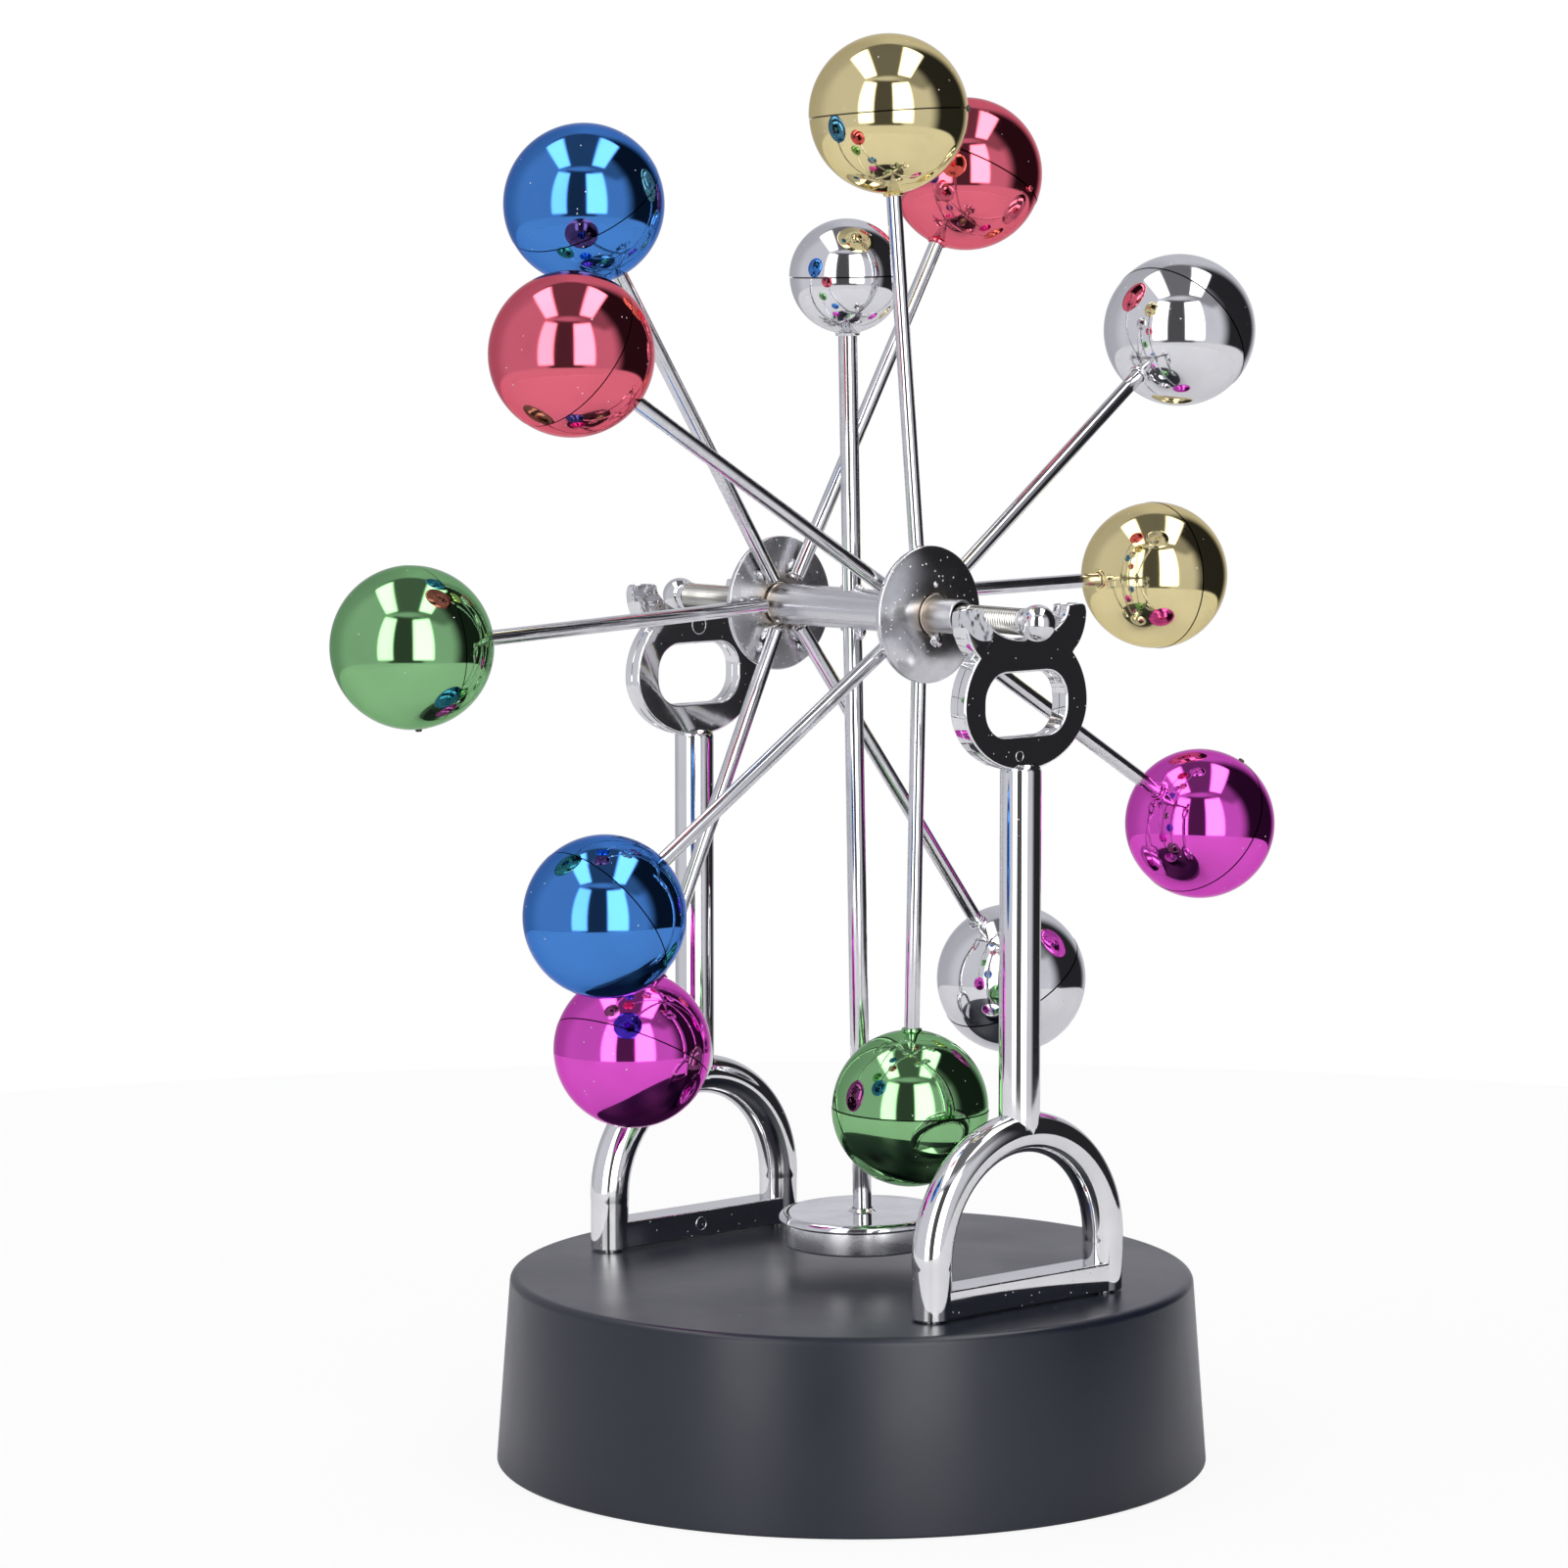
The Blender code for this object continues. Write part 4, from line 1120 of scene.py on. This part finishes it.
def build_underside():
    """Cover with the battery bay, screws and foot pads."""
    cover_low, cover_high = box("bottom_cover")
    radius = (cover_high.x - cover_low.x) / 2
    low = cover_low.z
    top = low + 2
    step = low + 0.3
    solid = revolve([
        (0, low), (radius - 4, low, 0.1), (radius - 3.8, step, 0.1), (radius - 3.2, step, 0.1),
        (radius - 3, low, 0.1), (radius, low, 0.4), (radius, top, 0.2), (0, top),
    ], 128)
    x = box("battery_door")[1].x + 0.5
    y = 29
    wall = 1.5
    bay_low = (-x - wall, -y - wall, top - 0.5)
    bay = box_mesh(bay_low, (x + wall, y + wall, cover_high.z), 0.6)
    room = box_mesh((-x, -y, low - 3), (x, y, cover_high.z - wall), 0.4)
    solid = cut(fused(solid, bay), room)
    for number in (1, 2, 3):
        node = f"cover_screw_{number}"
        low, high = box(node)
        place = at(*middle_of(node).xy, low.z)
        solid = cut(solid, plug(SCREW_HEAD + GAP, -2, 1.5, 48), place)
        show_solid(node, screw_mesh(high.z - low.z), place)
    show_solid("bottom_cover", solid)
    build_door()

    for number in (1, 2, 3):
        node = f"foot_pad_{number}"
        low, high = box(node)
        pad = pad_mesh((high.x - low.x) / 2, high.z - low.z)
        show(node, pad, at(*middle_of(node).xy, low.z))


def build_door():
    """Battery door with a finger notch, grip ribs and a hinge barrel."""
    low, high = box("battery_door")
    radius = 0.98
    hinge_y = high.y - radius
    slab = box_mesh(low, (high.x, hinge_y, low.z + 1.8), 0.25)
    half = (high.x - low.x - 4) / 2
    barrel = [(0, -half), (radius, -half, 0.2), (radius, half, 0.2), (0, half)]
    place = at(0, hinge_y, low.z + radius) @ LIE
    solid = fused(slab, revolve(barrel, 32), place)
    solid = cut(solid, plug(7, -1, 0.7, 64, 6), at(0, low.y + 1.5, low.z))
    for number in range(5):
        y = low.y + 10 + 1.8 * number
        groove = box_mesh((-9, y, low.z - 1), (9, y + 0.8, low.z + 0.4), 0.15)
        solid = cut(solid, groove)
    show_solid("battery_door", solid)


CELL_RADIUS = 7.1
CONTACTS = ("contact_start", *(f"contact_bridge_{number}" for number in (1, 2, 3)), "contact_end")


def cell_mesh(half):
    """Cell with crimped ends and its button at the top."""
    foot = -half + 0.4
    rim = half - 1.2
    return revolve([
        (0, foot), (4.6, foot, 0.2), (5, -half, 0.2), (CELL_RADIUS - 0.5, -half, 0.3),
        (CELL_RADIUS, -half + 0.6, 0.4), (CELL_RADIUS, half - 2, 0.5),
        (CELL_RADIUS - 0.8, rim, 0.3), (CELL_RADIUS - 1.6, half - 1.3, 0.2), (2.75, rim, 0.15),
        (2.6, half, 0.3), (0, half),
    ], 64)


def boss_mesh():
    """Pressed dome that meets a cell's button."""
    dome = arc((0, 0), (3, 2.9), 80, 0, 10)
    return revolve([(0, 2.9), *dome, (3, -0.1), (0, -0.1)], 32)


def spring_mesh():
    """Conical spring of thin wire."""
    turns = 2.5
    steps = 90
    path = []
    for step in range(steps + 1):
        share = step / steps
        angle = tau * turns * share
        radius = 4.6 - 2.2 * share
        height = 0.3 + 2.4 * share
        path.append(Vector((radius * cos(angle), radius * sin(angle), height)))
    return tube(path, lambda _share, _angle: 0.22)


def build_cells():
    """Cells, and the contacts that press on them."""
    cells = {number: f"battery_{number}" for number in (1, 2, 3, 4)}
    for number, node in cells.items():
        start, end = sorted(spine(node), key=lambda point: point.y, reverse=number % 2 == 1)
        half = (end - start).length / 2
        show(node, cell_mesh(half), along((start + end) / 2, end))

    for node in CONTACTS:
        low, high = box(node)
        parts = [(box_mesh(low, high, 0.12), IDENTITY)]
        inner = low.y if low.y > 0 else high.y
        for number, cell in cells.items():
            x, _y, z = middle_of(cell)
            if low.x < x < high.x:
                button_here = (number % 2 == 1) == (low.y <= 0)
                place = along(Vector((x, inner, z)), Vector((x, 0, z)))
                parts.append((boss_mesh() if button_here else spring_mesh(), place))
        show(node, joined(parts))


BOBBIN_CORE = 5
COIL_TURNS = 11


def build_coil():
    """Bobbin with its winding, whose turns show on the outside."""
    low, high = box("coil_bobbin")
    radius = (high.x - low.x) / 2
    height = high.z - low.z
    bore = 2.5
    flange = 0.8
    lower = [
        (bore, 0.3), (bore + 0.3, 0, 0.1), (radius, 0, 0.3), (radius, flange, 0.2),
        (BOBBIN_CORE, flange, 0.1),
    ]
    upper = [(r, height - z, *rounding) for r, z, *rounding in reversed(lower)]
    show("coil_bobbin", revolve(lower + upper, ring=True), at(0, 0, low.z))

    low, high = box("coil_winding")
    half_pitch = (high.z - low.z) / COIL_TURNS / 2
    reach = (high.x - low.x) / 2 - half_pitch
    inner = BOBBIN_CORE + GAP
    profile = [(inner, 0)]
    for turn in range(COIL_TURNS):
        centre = (reach, (2 * turn + 1) * half_pitch)
        profile += arc(centre, (half_pitch, half_pitch), -80, 80, 6)
    profile.append((inner, 2 * COIL_TURNS * half_pitch))
    show("coil_winding", revolve(profile, ring=True), at(0, 0, low.z))


def build_board():
    """Circuit board and transistor."""
    low, high = box("circuit_board")
    board = box_mesh(low, high, 0.15)
    for y in (-10.5, 10.5):
        place = at(middle_of("circuit_board").x, y, low.z - 1)
        board = cut(board, plug(1, -1, 4, 32), place)
    show_solid("circuit_board", board)

    low, high = box("transistor")
    half = (high.y - low.y) / 2
    flat = low.x + 0.4
    middle = (low.x + high.x) / 2 - 0.2
    bulge = arc((high.x - 2, 0), (2, half), -80, 80, 20)
    side = [(flat, half - 0.3), (high.x - 1.8, half)]
    outline = [(x, -y) for x, y in side] + bulge + list(reversed(side))
    levels = ((low.z + 0.5, 0.08), (low.z + 0.7, 0), (high.z - 0.3, 0), (high.z, 0.08))
    rings = [
        [Vector((x + (middle - x) * pull, y * (1 - pull), z)) for x, y in outline]
        for z, pull in levels
    ]
    show("transistor", loft(rings))


# Studio: patches painted in this order over pale walls. Each has two ranges (low, high,
# softness), a shade, and how far it covers what is under it. On the walls the ranges are
# degrees round from the camera to its right, and degrees up. On the ceiling they are
# places to the camera's right and towards it, in ceiling heights.

WALL, CEILING = "wall", "ceiling"
WINDOW = (3.6, 3.6, 3.6)
WINDOW_UP = (-13, 43, 2)
PANEL_TOWARDS = (-0.46, 0.64, 0.05)
WALLS = (0.66, 0.66, 0.71)
STUDIO = (
    (WALL, (-170, -112, 14), None, (0.5, 0.5, 0.54), 1),
    (WALL, (-30, 20, 6), (-60, 47, 2), (0.085, 0.083, 0.088), 1),
    (CEILING, (0.3, 1.5, 0.3), (-0.7, 1, 0.2), (0.3, 0.3, 0.32), 1),
    (CEILING, (-0.45, 0.35, 0.12), (-0.55, 0.72, 0.06), (0.17, 0.17, 0.18), 1),
    (WALL, (71, 146, 12), (-60, 68, 10), (0.022, 0.022, 0.025), 1),
    (WALL, (-45, -23, 2.5), WINDOW_UP, WINDOW, 0.85),
    (WALL, (6, 35, 2.5), WINDOW_UP, WINDOW, 1),
    (CEILING, (-0.68, -0.33, 0.04), PANEL_TOWARDS, WINDOW, 1),
    (CEILING, (0.24, 0.6, 0.04), PANEL_TOWARDS, WINDOW, 1),
)
GROUND = (0.8, 0.8, 0.82)
GROUND_RISE = (-18.5, -16)
CEILING_FROM = 0.05
WHITE = (1, 1, 1)


def within(value, low, high, soft):
    """1 between low and high, with soft ends."""
    rise = span(value, low - soft, low + soft)
    return times(rise, span(value, high - soft, high + soft, 1, 0))


def build_studio():
    """Soft white room in reflections and light, and plain white to the camera."""
    world = bpy.data.worlds.new("studio")
    bpy.context.scene.world = world
    world.use_nodes = True
    tree = world.node_tree
    tree.nodes.clear()
    heading = add(tree, "TexCoord").outputs["Generated"]

    def part(vector):
        links = {0: heading, 1: vector}
        return add(tree, "VectorMath", links, operation="DOT_PRODUCT").outputs["Value"]

    towards, right, up = part(TOWARDS), part(RIGHT), part(UP)
    turn = maths("DEGREES", maths("ARCTAN2", right, towards))
    rise = maths("DEGREES", maths("ARCSINE", up))
    overhead = maths("GREATER_THAN", up, CEILING_FROM)
    ceiling = maths("MAXIMUM", up, CEILING_FROM)
    ceiling_x = maths("DIVIDE", right, ceiling)
    ceiling_y = maths("DIVIDE", towards, ceiling)

    shade = WALLS
    for where, first, second, patch, cover in STUDIO:
        mask = within(turn if where == WALL else ceiling_x, *first)
        if second:
            mask = times(mask, within(rise if where == WALL else ceiling_y, *second))
        if where == CEILING:
            mask = times(mask, overhead)
        shade = mixed(times(mask, cover), shade, patch)
    shade = mixed(span(rise, *GROUND_RISE, 1, 0), shade, GROUND)

    reflected = add(tree, "Background", {"Color": shade, "Strength": 1})
    seen = add(tree, "Background", {"Color": WHITE, "Strength": 1})
    rays = add(tree, "LightPath").outputs["Is Camera Ray"]
    chosen = add(tree, "MixShader", {0: rays, 1: reflected.outputs[0], 2: seen.outputs[0]})
    add(tree, "OutputWorld", {"Surface": chosen.outputs[0]})


FLOOR_RADIUS = 400
FLOOR_BOTTOM = -4
FLOOR_TOP = -0.02
FLOOR_COLOUR = (0.8, 0.8, 0.81)
FLOOR_GLOW = 0.9


def build_floor():
    """Plain round white table, which looks nearly shadowless to the camera."""
    mesh = revolve([
        (0, FLOOR_BOTTOM), (FLOOR_RADIUS, FLOOR_BOTTOM, 1), (FLOOR_RADIUS, FLOOR_TOP, 1),
        (0, FLOOR_TOP),
    ], 128)
    mesh.transform(SCALE)
    paint = new_surface(
        "floor_white", Base_Color=FLOOR_COLOUR, Roughness=0.7, Specular_IOR_Level=0.2
    )
    tree = paint.node_tree
    lit = add(tree, "Emission", {"Color": WHITE, "Strength": 1}).outputs[0]
    share = times(add(tree, "LightPath").outputs["Is Camera Ray"], FLOOR_GLOW)
    blend = add(tree, "MixShader", {0: share, 1: shader_of(paint).outputs[0], 2: lit})
    feed(tree.nodes["Material Output"].inputs["Surface"], blend.outputs[0])
    mesh.materials.append(paint)
    floor = new_object("floor", mesh)
    floor.location.z = CAD_BOX[0].z


def build_camera():
    back = TOWARDS * cos(VIEW_ELEVATION) + UP * sin(VIEW_ELEVATION)
    data = bpy.data.cameras.new("camera")
    data.sensor_width = VIEW_SENSOR
    data.lens = VIEW_LENS
    data.clip_start = 0.05
    data.clip_end = 20
    camera = new_object("camera", data)
    target = RIGHT * VIEW_TARGET_RIGHT + UP * VIEW_TARGET_HEIGHT
    camera.location = target + back * VIEW_DISTANCE
    camera.rotation_mode = "QUATERNION"
    camera.rotation_quaternion = (-back).to_track_quat("-Z", "Y")
    bpy.context.scene.camera = camera


bpy.context.scene.view_settings.view_transform = "Standard"
build_camera()
build_studio()
build_floor()
build_base()
build_underside()
build_stands()
build_axle()
build_wheels()
build_pendulum()
build_welds()
build_cells()
build_coil()
build_board()

bpy.context.view_layer.update()
